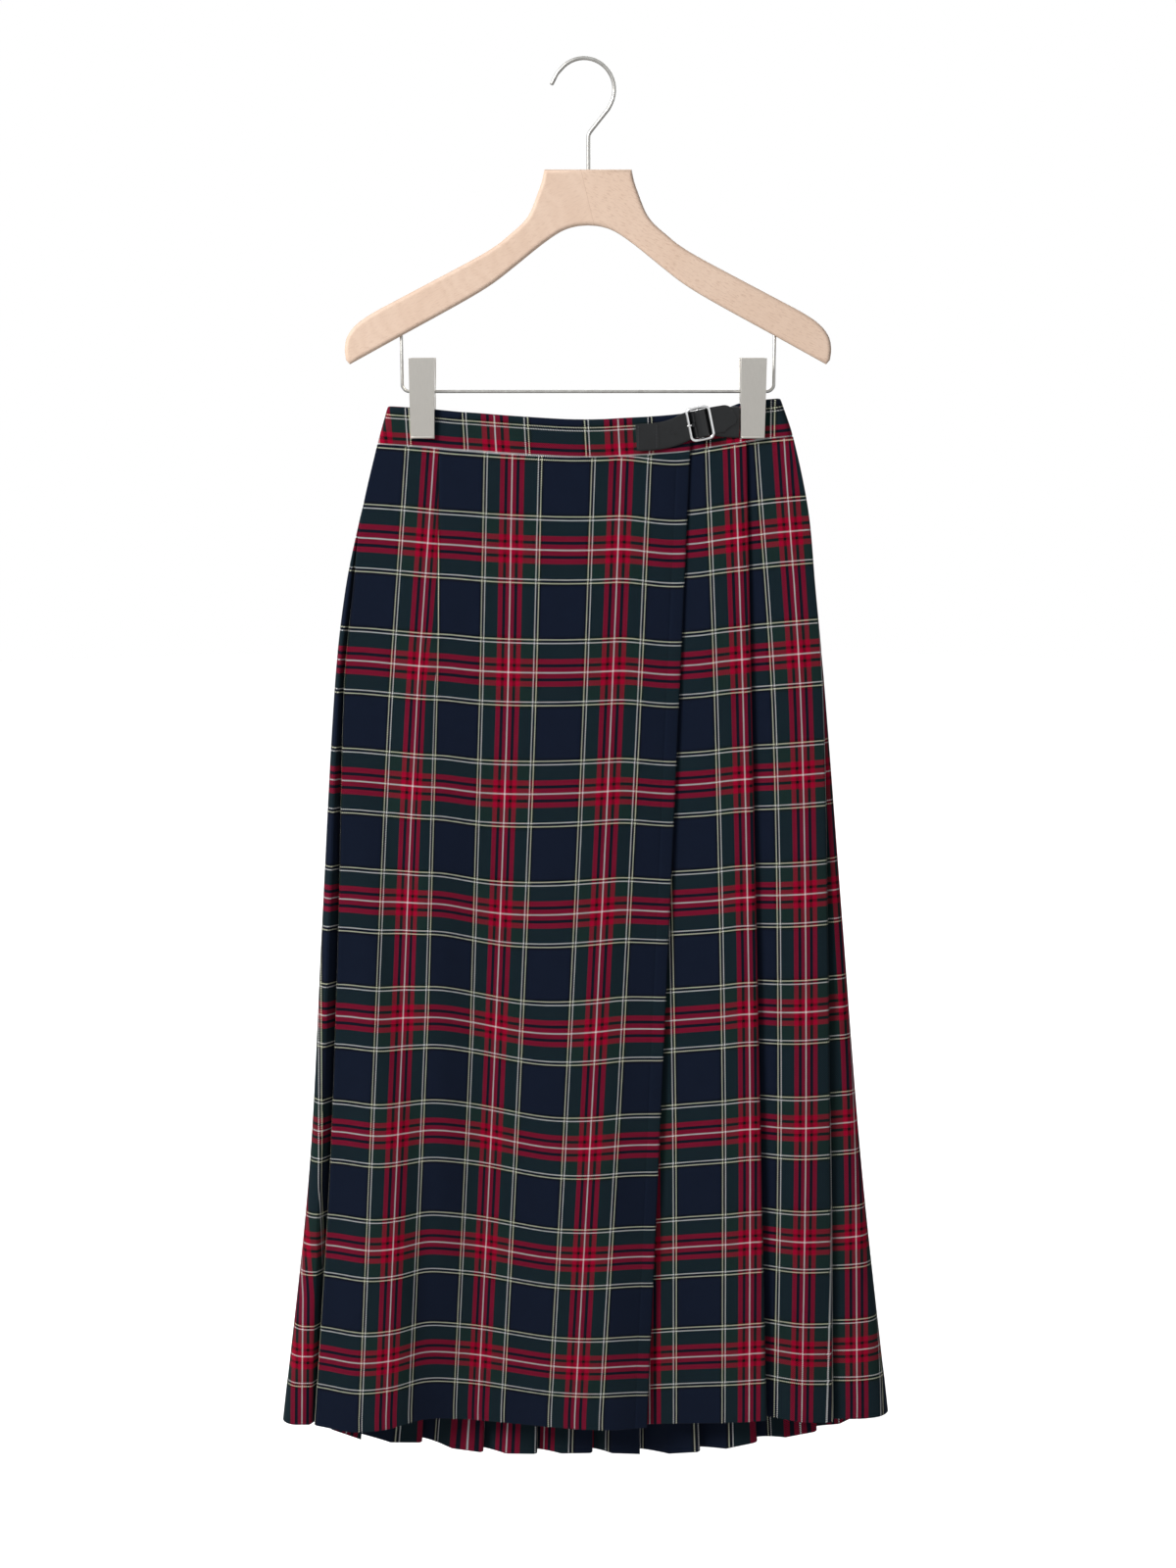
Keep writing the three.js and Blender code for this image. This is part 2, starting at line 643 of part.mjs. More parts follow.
function woodGeometry() {
  const leftHalf = woodHalf.map(([x, z]) => [-x, z]).reverse();
  const body = slab([...woodHalf, ...leftHalf], woodThickness, 2.5);
  return cut(
    body,
    upright(hookWire / 2 + seamGap, 36, 0.4, 0, -86.1),
    upright(barWire / 2 + seamGap, 24, barHalfWidth, 0, -220),
    upright(barWire / 2 + seamGap, 24, -barHalfWidth, 0, -220),
  );
}

function arcPoints(centreX, centreZ, radius, from, to, count) {
  return Array.from({ length: count }, (_, i) => {
    const angle = THREE.MathUtils.degToRad(mix(from, to, i / (count - 1)));
    return new THREE.Vector3(centreX + radius * Math.cos(angle), 0, centreZ + radius * Math.sin(angle));
  });
}

// The hook is bent from one wire: up out of the neck, aside, and over in most of a circle.
function hookGeometry() {
  const radius = 24.6;
  const centreZ = hookWire / 2 - radius;
  const stem = 0.4;
  const points = [
    new THREE.Vector3(stem, 0, -102),
    new THREE.Vector3(stem, 0, -61),
    new THREE.Vector3(stem + 0.8, 0, -57.4),
    new THREE.Vector3(stem + 3, 0, -54.2),
    new THREE.Vector3(16.4, 0, -38.4),
    ...arcPoints(-hangerMiddle, centreZ, radius, -28, 132, 15),
    new THREE.Vector3(-29.8, 0, -19.4),
  ];
  return wireGeometry(points, hookWire / 2, 10, new THREE.Vector3(0, 1, 0));
}

function barGeometry() {
  const inner = barHalfWidth - barBend;
  const centreZ = barHeight + barBend;
  const points = [
    new THREE.Vector3(-barHalfWidth, 0, -210),
    ...arcPoints(-inner, centreZ, barBend, 180, 270, 5),
    ...arcPoints(inner, centreZ, barBend, 270, 360, 5),
    new THREE.Vector3(barHalfWidth, 0, -210),
  ];
  return wireGeometry(points, barWire / 2, 8, new THREE.Vector3(0, 1, 0));
}

// A jaw is a folded plate: a front, two cheeks with ears round the bar, and a lip that grips the
// band. side is -1 for the front jaw and 1 for the back one, which fits between the other's ears.
const clipTop = -237.4;
const clipFoot = -303.3;
const grip = -bandFace + seamGap;
const plateAtTop = 13;
const plateAtFoot = 10;

function profileAlongX(points, width, x) {
  const shape = new THREE.Shape(points.map(([y, z]) => new THREE.Vector2(y, z)));
  const geometry = new THREE.ExtrudeGeometry(shape, { depth: width, bevelEnabled: false });
  geometry.rotateX(Math.PI / 2);
  geometry.rotateZ(Math.PI / 2);
  geometry.translate(x - width / 2, 0, 0);
  return geometry;
}

function jawGeometry(side, centreX) {
  const cheek = clipWidth / 2 - clipPlate / 2 - (side > 0 ? clipPlate + seamGap : 0);
  const mirrored = (points) => (side > 0 ? points : points.map(([y, z]) => [-y, z]).reverse());
  const plate = mirrored([
    [plateAtTop, clipTop], [plateAtTop - clipPlate, clipTop], [plateAtFoot - clipPlate, clipFoot + 2.6],
    [grip, clipFoot + 2.6], [grip, clipFoot], [plateAtFoot, clipFoot],
  ]);
  const ear = mirrored([
    [plateAtTop - 0.2, clipTop], [9, clipTop - 3], [1.5, barHeight + 6], [-2.4, barHeight + 1.5],
    [-2.4, barHeight - 2], [0, barHeight - 4.4], [8, barHeight - 6], [grip + 1, clipFoot + 2.4],
    [plateAtFoot - 0.2, clipFoot + 1],
  ]);
  const hole = new THREE.CylinderGeometry(barWire / 2 + seamGap, barWire / 2 + seamGap, clipWidth * 2, 12)
    .rotateZ(Math.PI / 2).translate(centreX, 0, barHeight);
  return cut(
    join(
      profileAlongX(plate, clipWidth, centreX),
      profileAlongX(ear, clipPlate, centreX - cheek),
      profileAlongX(ear, clipPlate, centreX + cheek),
    ),
    hole,
  );
}

// The spring is a close coil round the bar, between the ears.
function springGeometry(centreX) {
  const turns = 5;
  const pitch = 2;
  const inner = barWire / 2 + seamGap;
  const profile = [new THREE.Vector2(inner, -turns * pitch / 2)];
  for (let k = 0; k < turns; k += 1) {
    const start = (k - turns / 2) * pitch;
    profile.push(new THREE.Vector2(inner + 1, start), new THREE.Vector2(inner + 1.6, start + pitch / 2));
  }
  profile.push(new THREE.Vector2(inner + 1, turns * pitch / 2), new THREE.Vector2(inner, turns * pitch / 2));
  profile.push(profile[0].clone());
  return new THREE.LatheGeometry(profile, 12).rotateZ(Math.PI / 2).translate(centreX, 0, barHeight);
}

piece(skirt, 'waistband_over', clothGeometry(bandOver(), bandStops, bandWall), bandCloth);
piece(skirt, 'waistband_back', clothGeometry(bandBack(), bandStops, bandWall), bandCloth);
piece(skirt, 'waistband_under', clothGeometry(bandUnder(), bandStops, bandWall), bandCloth);
piece(skirt, 'over_apron', clothGeometry(overApron(), stops, wall), cloth);
piece(skirt, 'left_panel', clothGeometry(leftPanel(), stops, wall), cloth);
piece(skirt, 'back_pleats_left', clothGeometry(backPleats(5, 9), stops, wall), cloth);
piece(skirt, 'back_pleats_right', clothGeometry(backPleats(1, 4), stops, wall), cloth);
piece(skirt, 'right_panel', clothGeometry(rightPanel(), stops, wall), cloth);
piece(skirt, 'under_apron', clothGeometry(underApron(), stops, wall), cloth);

piece(skirt, 'strap', strapBody, leather);
piece(skirt, 'strap_anchor', anchorGeometry(), leather);
piece(skirt, 'chape', leatherGeometry(chapeLine), leather);
piece(skirt, 'buckle_frame', buckleGeometry(), brightNickel);
piece(skirt, 'buckle_prong', prongGeometry(), brightNickel);
piece(hanger, 'hanger_wood', woodGeometry(), beech);
piece(hanger, 'hanger_hook', hookGeometry(), nickel);
piece(hanger, 'hanger_bar', barGeometry(), nickel);
for (const [name, x] of Object.entries(clipCentres)) {
  piece(hanger, `${name}_front`, jawGeometry(-1, x), nickel);
  piece(hanger, `${name}_back`, jawGeometry(1, x), nickel);
  piece(hanger, `${name}_spring`, springGeometry(x), nickel);
}

export default hung;
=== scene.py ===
import math

import bmesh
import bpy
import numpy as np
from mathutils import Matrix, Vector


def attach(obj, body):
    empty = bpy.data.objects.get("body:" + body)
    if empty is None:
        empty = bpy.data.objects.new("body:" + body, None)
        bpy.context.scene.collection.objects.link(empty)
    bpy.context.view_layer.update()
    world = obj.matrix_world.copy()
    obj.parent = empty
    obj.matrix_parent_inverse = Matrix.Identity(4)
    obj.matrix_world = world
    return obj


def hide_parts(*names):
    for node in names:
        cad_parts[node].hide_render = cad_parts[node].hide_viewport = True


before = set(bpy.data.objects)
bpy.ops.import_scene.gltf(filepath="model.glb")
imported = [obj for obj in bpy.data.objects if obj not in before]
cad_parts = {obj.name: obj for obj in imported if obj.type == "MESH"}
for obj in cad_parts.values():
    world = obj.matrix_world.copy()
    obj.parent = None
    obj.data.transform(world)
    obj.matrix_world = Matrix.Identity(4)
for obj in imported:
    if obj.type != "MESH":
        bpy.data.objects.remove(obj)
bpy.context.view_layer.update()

# Studio. A white room with a pale floor below the hem, one large soft light high on the left, a
# weaker one on the right, and the camera a little above the hook, looking slightly down.
scene = bpy.context.scene
scene.view_settings.view_transform = "Standard"
HOOK_SHIFT = 0.0032  # the hanger's middle, right of the hook's resting point

camera = bpy.data.objects.new("camera", bpy.data.cameras.new("camera"))
camera.data.lens = 54.52
camera.data.sensor_width = 36
camera.location = (HOOK_SHIFT, -2.0, -0.20854)
camera.rotation_euler = (math.radians(79), 0, 0)
scene.collection.objects.link(camera)
scene.camera = camera

room = bpy.data.worlds.new("room")
room.use_nodes = True
scene.world = room
nodes, links = room.node_tree.nodes, room.node_tree.links
nodes.clear()
seen, lit = nodes.new("ShaderNodeBackground"), nodes.new("ShaderNodeBackground")
seen.inputs["Color"].default_value = (1, 1, 1, 1)
lit.inputs["Color"].default_value = (0.96, 0.98, 1.0, 1)
rays, choose = nodes.new("ShaderNodeLightPath"), nodes.new("ShaderNodeMixShader")
mirrored = nodes.new("ShaderNodeMapRange")  # polished metal sees brighter walls than cloth does
mirrored.inputs["To Min"].default_value, mirrored.inputs["To Max"].default_value = 0.17, 0.8
links.new(rays.outputs["Is Glossy Ray"], mirrored.inputs["Value"])
links.new(mirrored.outputs["Result"], lit.inputs["Strength"])
links.new(rays.outputs["Is Camera Ray"], choose.inputs["Fac"])
links.new(lit.outputs[0], choose.inputs[1])
links.new(seen.outputs[0], choose.inputs[2])
links.new(choose.outputs[0], nodes.new("ShaderNodeOutputWorld").inputs["Surface"])

for name, place, target, size, power in (
    ("window_light", (-2.2, -2.0, 1.2), (0, 0, -0.6), 1.2, 122),
    ("fill_light", (2.0, -2.0, 0.0), (0, 0, -0.6), 2.0, 2),
    ("back_light", (0.8, 2.4, 0.8), (0, 0, -0.6), 2.2, 34),
):
    lamp = bpy.data.objects.new(name, bpy.data.lights.new(name, "AREA"))
    lamp.data.size = size
    lamp.data.energy = power
    lamp.location = place
    aim = Vector(target) - Vector(place)
    lamp.rotation_euler = aim.to_track_quat("-Z", "Y").to_euler()
    scene.collection.objects.link(lamp)

floor_mesh = bmesh.new()
bmesh.ops.create_circle(floor_mesh, cap_ends=True, segments=96, radius=6)
FLOOR_HEIGHT = -1.30
ground = bpy.data.objects.new("floor", bpy.data.meshes.new("floor"))
floor_mesh.to_mesh(ground.data)
floor_mesh.free()
ground.location.z = FLOOR_HEIGHT
scene.collection.objects.link(ground)
paper = bpy.data.materials.new("white_paper")
paper.use_nodes = True
sheet = paper.node_tree.nodes["Principled BSDF"]
sheet.inputs["Base Color"].default_value = (0.5, 0.5, 0.5, 1)
sheet.inputs["Roughness"].default_value = 1
sheet.inputs["Specular IOR Level"].default_value = 0
sheet.inputs["Emission Strength"].default_value = 1
path, glow = paper.node_tree.nodes.new("ShaderNodeLightPath"), paper.node_tree.nodes.new("ShaderNodeMix")
glow.data_type = "RGBA"
glow.inputs[6].default_value, glow.inputs[7].default_value = (0.13, 0.13, 0.13, 1), (1, 1, 1, 1)
paper.node_tree.links.new(path.outputs["Is Camera Ray"], glow.inputs[0])
paper.node_tree.links.new(glow.outputs[2], sheet.inputs["Emission Color"])
ground.data.materials.append(paper)


# Hanger hook and bar. Bright drawn steel wire: the hook swivels in the hanger's neck, and the bar
# is bent up at both ends into holes in the arms and carries the clips.
MM = 0.001


class Amount:
    """A value that varies over a surface; arithmetic on it adds the Math nodes."""

    def __init__(self, socket):
        self.socket = socket

    def maths(self, operation, *terms):
        terms = terms or (self,)
        node = self.socket.id_data.nodes.new("ShaderNodeMath")
        node.operation = operation
        for place, term in zip(node.inputs, terms):
            if isinstance(term, Amount):
                self.socket.id_data.links.new(term.socket, place)
            else:
                place.default_value = term
        return Amount(node.outputs[0])

    def __add__(self, other):
        return self.maths("ADD", self, other)

    __radd__ = __add__

    def __sub__(self, other):
        return self.maths("SUBTRACT", self, other)

    def __rsub__(self, other):
        return self.maths("SUBTRACT", other, self)

    def __mul__(self, other):
        return self.maths("MULTIPLY", self, other)

    __rmul__ = __mul__

    def __truediv__(self, other):
        return self.maths("DIVIDE", self, other)

    def __lt__(self, other):
        return self.maths("LESS_THAN", self, other)

    def __gt__(self, other):
        return self.maths("GREATER_THAN", self, other)

    def __abs__(self):
        return self.maths("ABSOLUTE", self)

    def fract(self):
        return self.maths("FRACT", self)

    def floor(self):
        return self.maths("FLOOR", self)


class Finish:
    """One material: a Principled shader whose sockets are set by name."""

    def __init__(self, name, **constants):
        self.material = bpy.data.materials.new(name)
        self.material.use_nodes = True
        self.shader = self.material.node_tree.nodes["Principled BSDF"]
        for socket, value in constants.items():
            self.shader.inputs[socket.replace("_", " ")].default_value = value

    def node(self, kind, settings=None, output=0, **places):
        made = self.material.node_tree.nodes.new("ShaderNode" + kind)
        for name, value in (settings or {}).items():
            if name == "stops":
                ramp = made.color_ramp
                while len(ramp.elements) < len(value):
                    ramp.elements.new(0)
                for element, (at, colour) in zip(ramp.elements, value):
                    element.position, element.color = at, colour
            elif name == "interpolation":
                made.color_ramp.interpolation = value
            else:
                setattr(made, name, value)
        for name, value in places.items():
            spot = made.inputs[int(name[1:]) if name[1:].isdigit() else name.replace("_", " ")]
            if isinstance(value, Amount):
                self.material.node_tree.links.new(value.socket, spot)
            else:
                spot.default_value = value
        return Amount(made.outputs[output])

    def blend(self, factor, first, second, how="MIX"):
        return self.node("Mix", {"data_type": "RGBA", "blend_type": how}, 2, _0=factor, _6=first, _7=second)

    def feed(self, **places):
        for name, value in places.items():
            spot = self.shader.inputs[name.replace("_", " ")]
            self.material.node_tree.links.new(value.socket, spot)


def linear(red, green, blue):
    """An sRGB colour of 0 to 255 as the shader's linear one."""
    parts = [c / 255 for c in (red, green, blue)]
    return (*[c / 12.92 if c <= 0.04045 else ((c + 0.055) / 1.055) ** 2.4 for c in parts], 1)


def flow(points, steps):
    """Points along a smooth curve through the given ones."""
    p = np.array([points[0], *points, points[-1]], float)
    found = []
    for i in range(1, len(p) - 2):
        for t in np.arange(steps) / steps:
            a, b, c, d = p[i - 1 : i + 3]
            found.append(
                0.5 * (
                    2 * b + (c - a) * t + (2 * a - 5 * b + 4 * c - d) * t * t + (3 * b - a - 3 * c + d) * t**3
                )
            )
    found.append(p[-2])
    return np.array(found)


def face_outward(mesh):
    """Turns a closed mesh's faces outward."""
    solid = bmesh.new()
    solid.from_mesh(mesh)
    if solid.calc_volume(signed=True) < 0:
        mesh.flip_normals()
    solid.free()


def add_piece(name, points, faces, finish, slot, *nodes, sharp=None):
    """Puts a mesh, given in millimetres from the hanger's middle, in place of CAD nodes."""
    mesh = bpy.data.meshes.new(name)
    shifted = np.array(points, float) * MM + (HOOK_SHIFT, 0, 0)
    mesh.from_pydata(shifted.tolist(), [], faces)
    mesh.validate()
    face_outward(mesh)
    mesh.shade_smooth()
    if sharp is not None:
        mesh.set_sharp_from_angle(angle=math.radians(sharp))
    mesh.materials.append(finish.material)
    made = bpy.data.objects.new(name, mesh)
    scene.collection.objects.link(made)
    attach(made, "root")
    if nodes:
        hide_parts(*nodes)
    return made


def wire(points, radius, out, sides=20):
    """A round wire with domed ends along points that lie in a plane; out points out of the plane."""
    points, out = np.array(points, float), np.array(out, float)
    ahead = np.gradient(points, axis=0)
    ahead /= np.linalg.norm(ahead, axis=1, keepdims=True)
    aside = np.cross(out, ahead)
    angles = 2 * np.pi * np.arange(sides) / sides
    middles = [points[0]] * 3 + list(points[1:-1]) + [points[-1]] * 3
    sides_at = [aside[0]] * 3 + list(aside[1:-1]) + [aside[-1]] * 3
    widths = [0.55, 0.88, 1] + [1] * (len(points) - 2) + [1, 0.88, 0.55]
    lift = [0, 0.25, 0.6] + [0] * (len(points) - 2) + [-0.6, -0.25, 0]
    ahead_at = [ahead[0]] * 3 + list(ahead[1:-1]) + [ahead[-1]] * 3
    grid = [
        [m + a * l * radius + w * radius * (s * math.cos(t) + out * math.sin(t)) for t in angles]
        for m, s, w, l, a in zip(middles, sides_at, widths, lift, ahead_at)
    ]
    found = [tuple(p) for ring in grid for p in ring]
    faces = []
    for i in range(len(grid) - 1):
        for k in range(sides):
            a, b = i * sides + k, i * sides + (k + 1) % sides
            faces.append((a, b, b + sides, a + sides))
    faces.append(tuple(range(sides))[::-1])
    faces.append(tuple(range((len(grid) - 1) * sides, len(grid) * sides)))
    return found, faces


steel = Finish("drawn_steel", Metallic=1.0, Roughness=0.27)
drawn = steel.node("TexCoord", output=3)
streaks = steel.node("TexNoise", Vector=drawn, Scale=240.0, Detail=2.0)
steel.feed(
    Base_Color=steel.node(
        "ValToRGB", {"stops": [(0.3, linear(180, 177, 172)), (0.7, linear(196, 194, 189))]}, Fac=streaks,
    ),
    Roughness=0.34 + streaks * 0.06,
)

HOOK_WIRE = 3.3
HOOK_RADIUS = 24.6
arc_middle = (-3.2, HOOK_WIRE / 2 - HOOK_RADIUS)
arc = [
    (
        arc_middle[0] + HOOK_RADIUS * math.cos(math.radians(a)), 0,
        arc_middle[1] + HOOK_RADIUS * math.sin(math.radians(a)),
    )
    for a in range(-28, 133, 8)
]
stem = flow(
    [(0.4, 0, -100), (0.4, 0, -80), (0.4, 0, -61), (1.2, 0, -57.4), (3.4, 0, -54.2), (16.4, 0, -38.4)], 5,
)
add_piece(
    "hook", *wire([*stem, *arc, (-25.2, 0, -10.5), (-29.8, 0, -19.4)], HOOK_WIRE / 2, (0, 1, 0)), steel,
    "nickel", "hanger_hook",
)

BAR_WIRE = 2.7
BAR_HEIGHT = -264.9
BAR_HALF = 154.4
BAR_BEND = 6
bends = [
    [
        (
            side * (BAR_HALF - BAR_BEND) + BAR_BEND * math.cos(math.radians(a)), 0,
            BAR_HEIGHT + BAR_BEND + BAR_BEND * math.sin(math.radians(a)),
        )
        for a in range(start, start + 91, 10)
    ]
    for side, start in ((-1, 180), (1, 270))
]
run = [(x, 0, BAR_HEIGHT) for x in np.linspace(-140, 140, 15)]
add_piece(
    "bar",
    *wire([(-BAR_HALF, 0, -211), *bends[0], *run, *bends[1], (BAR_HALF, 0, -211)], BAR_WIRE / 2, (0, 1, 0)),
    steel, "nickel", "hanger_bar",
)


# Hanger body. Two pieces of pale beech, 12 mm thick, glued on a slant in the neck, sanded round at
# every edge and left with a dull clear finish.
WOOD_THICKNESS = 12
WOOD_ROUND = 3.2
top_edge = [
    (35.6, -86.1), (37.6, -95), (40.7, -103.8), (47, -119.4), (53.6, -128.6), (64.1, -137.7),
    (76.3, -147.2), (97.9, -159.6), (157.3, -190.2), (178.9, -201.6), (191.5, -210.4), (199, -220),
    (201.2, -230), (200.4, -239),
]
under_edge = [
    (197.4, -242.6), (154.6, -219.5), (103.4, -192), (79.2, -177.6), (60.3, -163.4), (38.7, -146.4),
    (22.6, -135.6), (10.5, -131.4), (0, -130.4),
]
half_outline = [*flow(top_edge, 4), *flow(under_edge, 4)]
del half_outline[1]  # it lies inside the rounding of the neck's corner
outline_points = np.array(half_outline + [(-x, z) for x, z in half_outline[-2::-1]])
before, after = np.roll(outline_points, 1, 0), np.roll(outline_points, -1, 0)
along = (after - outline_points) / np.linalg.norm(after - outline_points, axis=1, keepdims=True)
along_before = (outline_points - before) / np.linalg.norm(outline_points - before, axis=1, keepdims=True)
inward = np.stack([along[:, 1] + along_before[:, 1], -along[:, 0] - along_before[:, 0]], 1)
inward /= 1 + np.sum(along * along_before, axis=1, keepdims=True)
turns = [
    (WOOD_ROUND * (1 - math.sin(a)), WOOD_ROUND * (1 - math.cos(a)))
    for a in np.linspace(0, math.pi / 2, 6)
]
RIM = WOOD_ROUND + 0.5  # where the flat faces start, in from the outline
profile = [(RIM, 0), *turns]
profile += [(inset, WOOD_THICKNESS - depth) for inset, depth in turns[::-1]] + [(RIM, WOOD_THICKNESS)]
wood_points, count = [], len(outline_points)
for inset, depth in profile:
    for (x, z), (dx, dz) in zip(outline_points, inward):
        wood_points.append((x + dx * inset, depth - WOOD_THICKNESS / 2, z + dz * inset))
wood_faces = [
    (i * count + k, (i + 1) * count + k, (i + 1) * count + (k + 1) % count, i * count + (k + 1) % count)
    for i in range(len(profile) - 1)
    for k in range(count)
]
wood_faces.append(tuple(range(count)))
wood_faces.append(tuple(range((len(profile) - 1) * count, len(profile) * count))[::-1])

beech = Finish("pale_beech", Roughness=0.55, IOR=1.45)
place = beech.node("TexCoord", output=3)
split = beech.node("SeparateXYZ", Vector=place)
across_x, height_z = Amount(split.socket.node.outputs[0]), Amount(split.socket.node.outputs[2])
JOINT_LEAN, JOINT_HEIGHT, JOINT_WIDTH = 0.25, 0.11, 0.0002  # the glued joint in the neck
slant = across_x - HOOK_SHIFT + JOINT_LEAN * (height_z + JOINT_HEIGHT)
right_piece = slant > 0.0
ARM_SLOPE = math.radians(27)
turned, turned_back = [
    beech.node("Mapping", {"vector_type": "POINT"}, Vector=place, Rotation=(0, slope, 0))
    for slope in (ARM_SLOPE, -ARM_SLOPE)
]
grain_way = beech.blend(right_piece, turned, turned_back)
long_way = beech.node("VectorMath", {"operation": "MULTIPLY"}, _0=grain_way, _1=(80.0, 380.0, 560.0))
flecks = beech.node("TexNoise", Vector=long_way, Scale=2.2, Detail=2.0, Roughness=0.6)
rings = beech.node(
    "TexWave", {"wave_type": "BANDS", "bands_direction": "X"}, Vector=grain_way, Scale=22.0,
    Distortion=9.0, Detail=3.0, Detail_Scale=2.2,
)
cloudy = beech.node("TexNoise", Vector=grain_way, Scale=26.0, Detail=3.0)
pale, warm, fleck = linear(235, 208, 187), linear(228, 198, 175), linear(176, 136, 110)
base = beech.blend(cloudy, pale, warm)
base = beech.blend((rings * 0.08 + 0.02) * (1 - right_piece * 0.55), base, fleck)
fleck_mask = beech.node("ValToRGB", {"stops": [(0.53, (0, 0, 0, 1)), (0.66, (1, 1, 1, 1))]}, Fac=flecks)
base = beech.blend(fleck_mask * (0.20 + 0.16 * right_piece), base, fleck)
joint = abs(slant) < JOINT_WIDTH
base = beech.blend(joint * 0.35, base, fleck)
grain_bump = beech.node("Bump", Height=flecks, Strength=0.12, Distance=0.0004)
beech.feed(Base_Color=base, Roughness=0.48 + flecks * 0.16, Normal=grain_bump)
add_piece("hanger_body", wood_points, wood_faces, beech, "beech", "hanger_wood", sharp=50)


# Cloth of the skirt. Wool twill in a traditional check, hung flat and closed: every panel is a thin
# wall worked out level by level from the waist seam to the hem, and the pleats are turned one way.
CLOTH_LENGTH = 860
BAND_HEIGHT = 31
WALL = 1.5  # the room each layer takes
FACE = WALL / 2  # from an outer face to the middle of its wall
CLOTH_THICK = 1.0

OUTLINE = {
    "down": [-31, 0, 60, 120, 200, 410, 630, 860],
    "left": [-166.7, -175.8, -191.5, -205, -215.4, -230.8, -246.6, -274.8],
    "right": [160.1, 171, 185, 191.8, 200.8, 220.8, 242, 270.5],
    "apron": [-166.7, -175.8, -190.4, -198.3, -207, -215.8, -227.5, -245],
    "second": [160.1, 171, 184.6, 191.2, 199.2, 207, 213.4, 219.3],
    "half": [6.3, 6.3, 7, 8, 9, 12, 14, 16],
}
FRONT = {
    "across": [
        -1, -0.9, -0.76, -0.65, -0.54, -0.41, -0.25, -0.07, 0.08, 0.2, 0.34, 0.5, 0.6, 0.74, 0.85, 1,
    ],
    "seam": [
        -308.5, -309.5, -311, -312.8, -314, -315.7, -317.5, -319.1, -319.1, -318, -316.8, -314.5, -311.5,
        -307.5, -304.5, -302,
    ],
    "back": [0, -1, -9, -9, 0, 11, 8, 1, -2, 3, 3, 0, -3, -2, -1, 0],
    "drop": [-9, -7, -8.5, -4, 1, -1, -1.5, -1.5, -2, -3, -1.5, 0, 0, -6, -9, -8],
}
BACK_FOLDS = [0.84, 0.663, 0.465, 0.275, 0.085, -0.085, -0.27, -0.45, -0.655, -0.845]


def smooth(table, column, at):
    """A column of a table at any place along its first column, on a smooth curve through its rows."""
    xs, ys = np.array(next(iter(table.values())), float), np.array(table[column], float)
    inner = (ys[2:] - ys[:-2]) / (xs[2:] - xs[:-2])
    slopes = np.concatenate(
        [[(ys[1] - ys[0]) / (xs[1] - xs[0])], inner, [(ys[-1] - ys[-2]) / (xs[-1] - xs[-2])]]
    )
    at = np.asarray(at, float)
    i = np.clip(np.searchsorted(xs, at, side="right") - 1, 0, len(xs) - 2)
    width, rise = xs[i + 1] - xs[i], ys[i + 1] - ys[i]
    t = np.clip((at - xs[i]) / width, 0, 1)
    early, late = slopes[i] * width, slopes[i + 1] * width
    return ys[i] + t * (early + t * (3 * rise - 2 * early - late + t * (early + late - 2 * rise)))


def ease(t):
    t = np.clip(t, 0, 1)
    return t * t * (3 - 2 * t)


class Levels:
    """Everything that the skirt's levels are measured from, one value for each row of the cloth."""

    def __init__(self, down):
        self.down = np.array(down, float)
        for column in ("left", "right", "apron", "second", "half"):
            setattr(self, column, smooth(OUTLINE, column, self.down))
        self.lowered = np.clip(self.down / CLOTH_LENGTH, 0, 1)
        self.middle, self.reach = (self.left + self.right) / 2, (self.right - self.left) / 2
        self.layer = WALL + 0.45 + 3.55 * self.lowered
        self.bend, self.tuck = self.layer / 2, 16 + 10 * self.lowered
        self.fullness, self.swing = self.lowered**1.4, -8 * self.lowered
        self.lap = 84.9 - 32.3 * self.lowered
        self.first = 132.3 + 27.7 * self.lowered
        self.under_end = -146 - 57 * self.lowered

    def height(self, x, behind):
        across = (x - self.middle) / self.reach
        z = smooth(FRONT, "seam", across) + smooth(FRONT, "drop", across) * self.lowered - self.down
        if not behind:
            return z
        inner = np.minimum(1, np.abs(x - self.middle) / (self.reach - self.half))
        at_waist = 32 * (1 - np.minimum(1, inner / 0.84) ** 2) ** 1.5
        return z - at_waist * (1 - self.lowered) - 42 * (1 - inner**4) * self.lowered

    def front(self, x, inset):
        across = (x - self.middle) / self.reach
        trough = np.interp(self.down, [120, 300, 450, 700, 860], [0, 3.5, 6, 4.5, 2])
        trough_x = np.interp(self.down, [300, 450, 560, 700, 860], [-168, -161, -153, -148, -142])
        fold = trough * np.exp(-(((x - trough_x) / 19) ** 2))
        y = self.swing - self.half + smooth(FRONT, "back", across) * self.fullness + fold + inset
        return np.stack([x, y, self.height(x, False)], 1)

    def back(self, x, inset):
        across = (x - self.middle) / self.reach
        ripple = 2.5 * np.sin(9 * across + 1) + 16 * (1 - across**2)
        return np.stack(
            [x, self.swing + self.half + ripple * self.fullness - inset, self.height(x, True)], 1,
        )

    def side(self, way, degrees, inset):
        angle, radius = np.radians(degrees), self.half - inset
        middle = self.right - self.half if way > 0 else self.left + self.half
        x = middle + radius * np.cos(angle)
        return np.stack([x, self.swing + radius * np.sin(angle), self.height(x, False)], 1)


def crease(level, place, way, x):
    """The fold that shows at the end of a pleat's face."""
    return [
        place(x + way * (level.bend * (math.cos(a) - 1) - FACE), FACE + level.bend * (1 + math.sin(a)))
        for a in np.radians(range(-90, 91, 22))
    ]


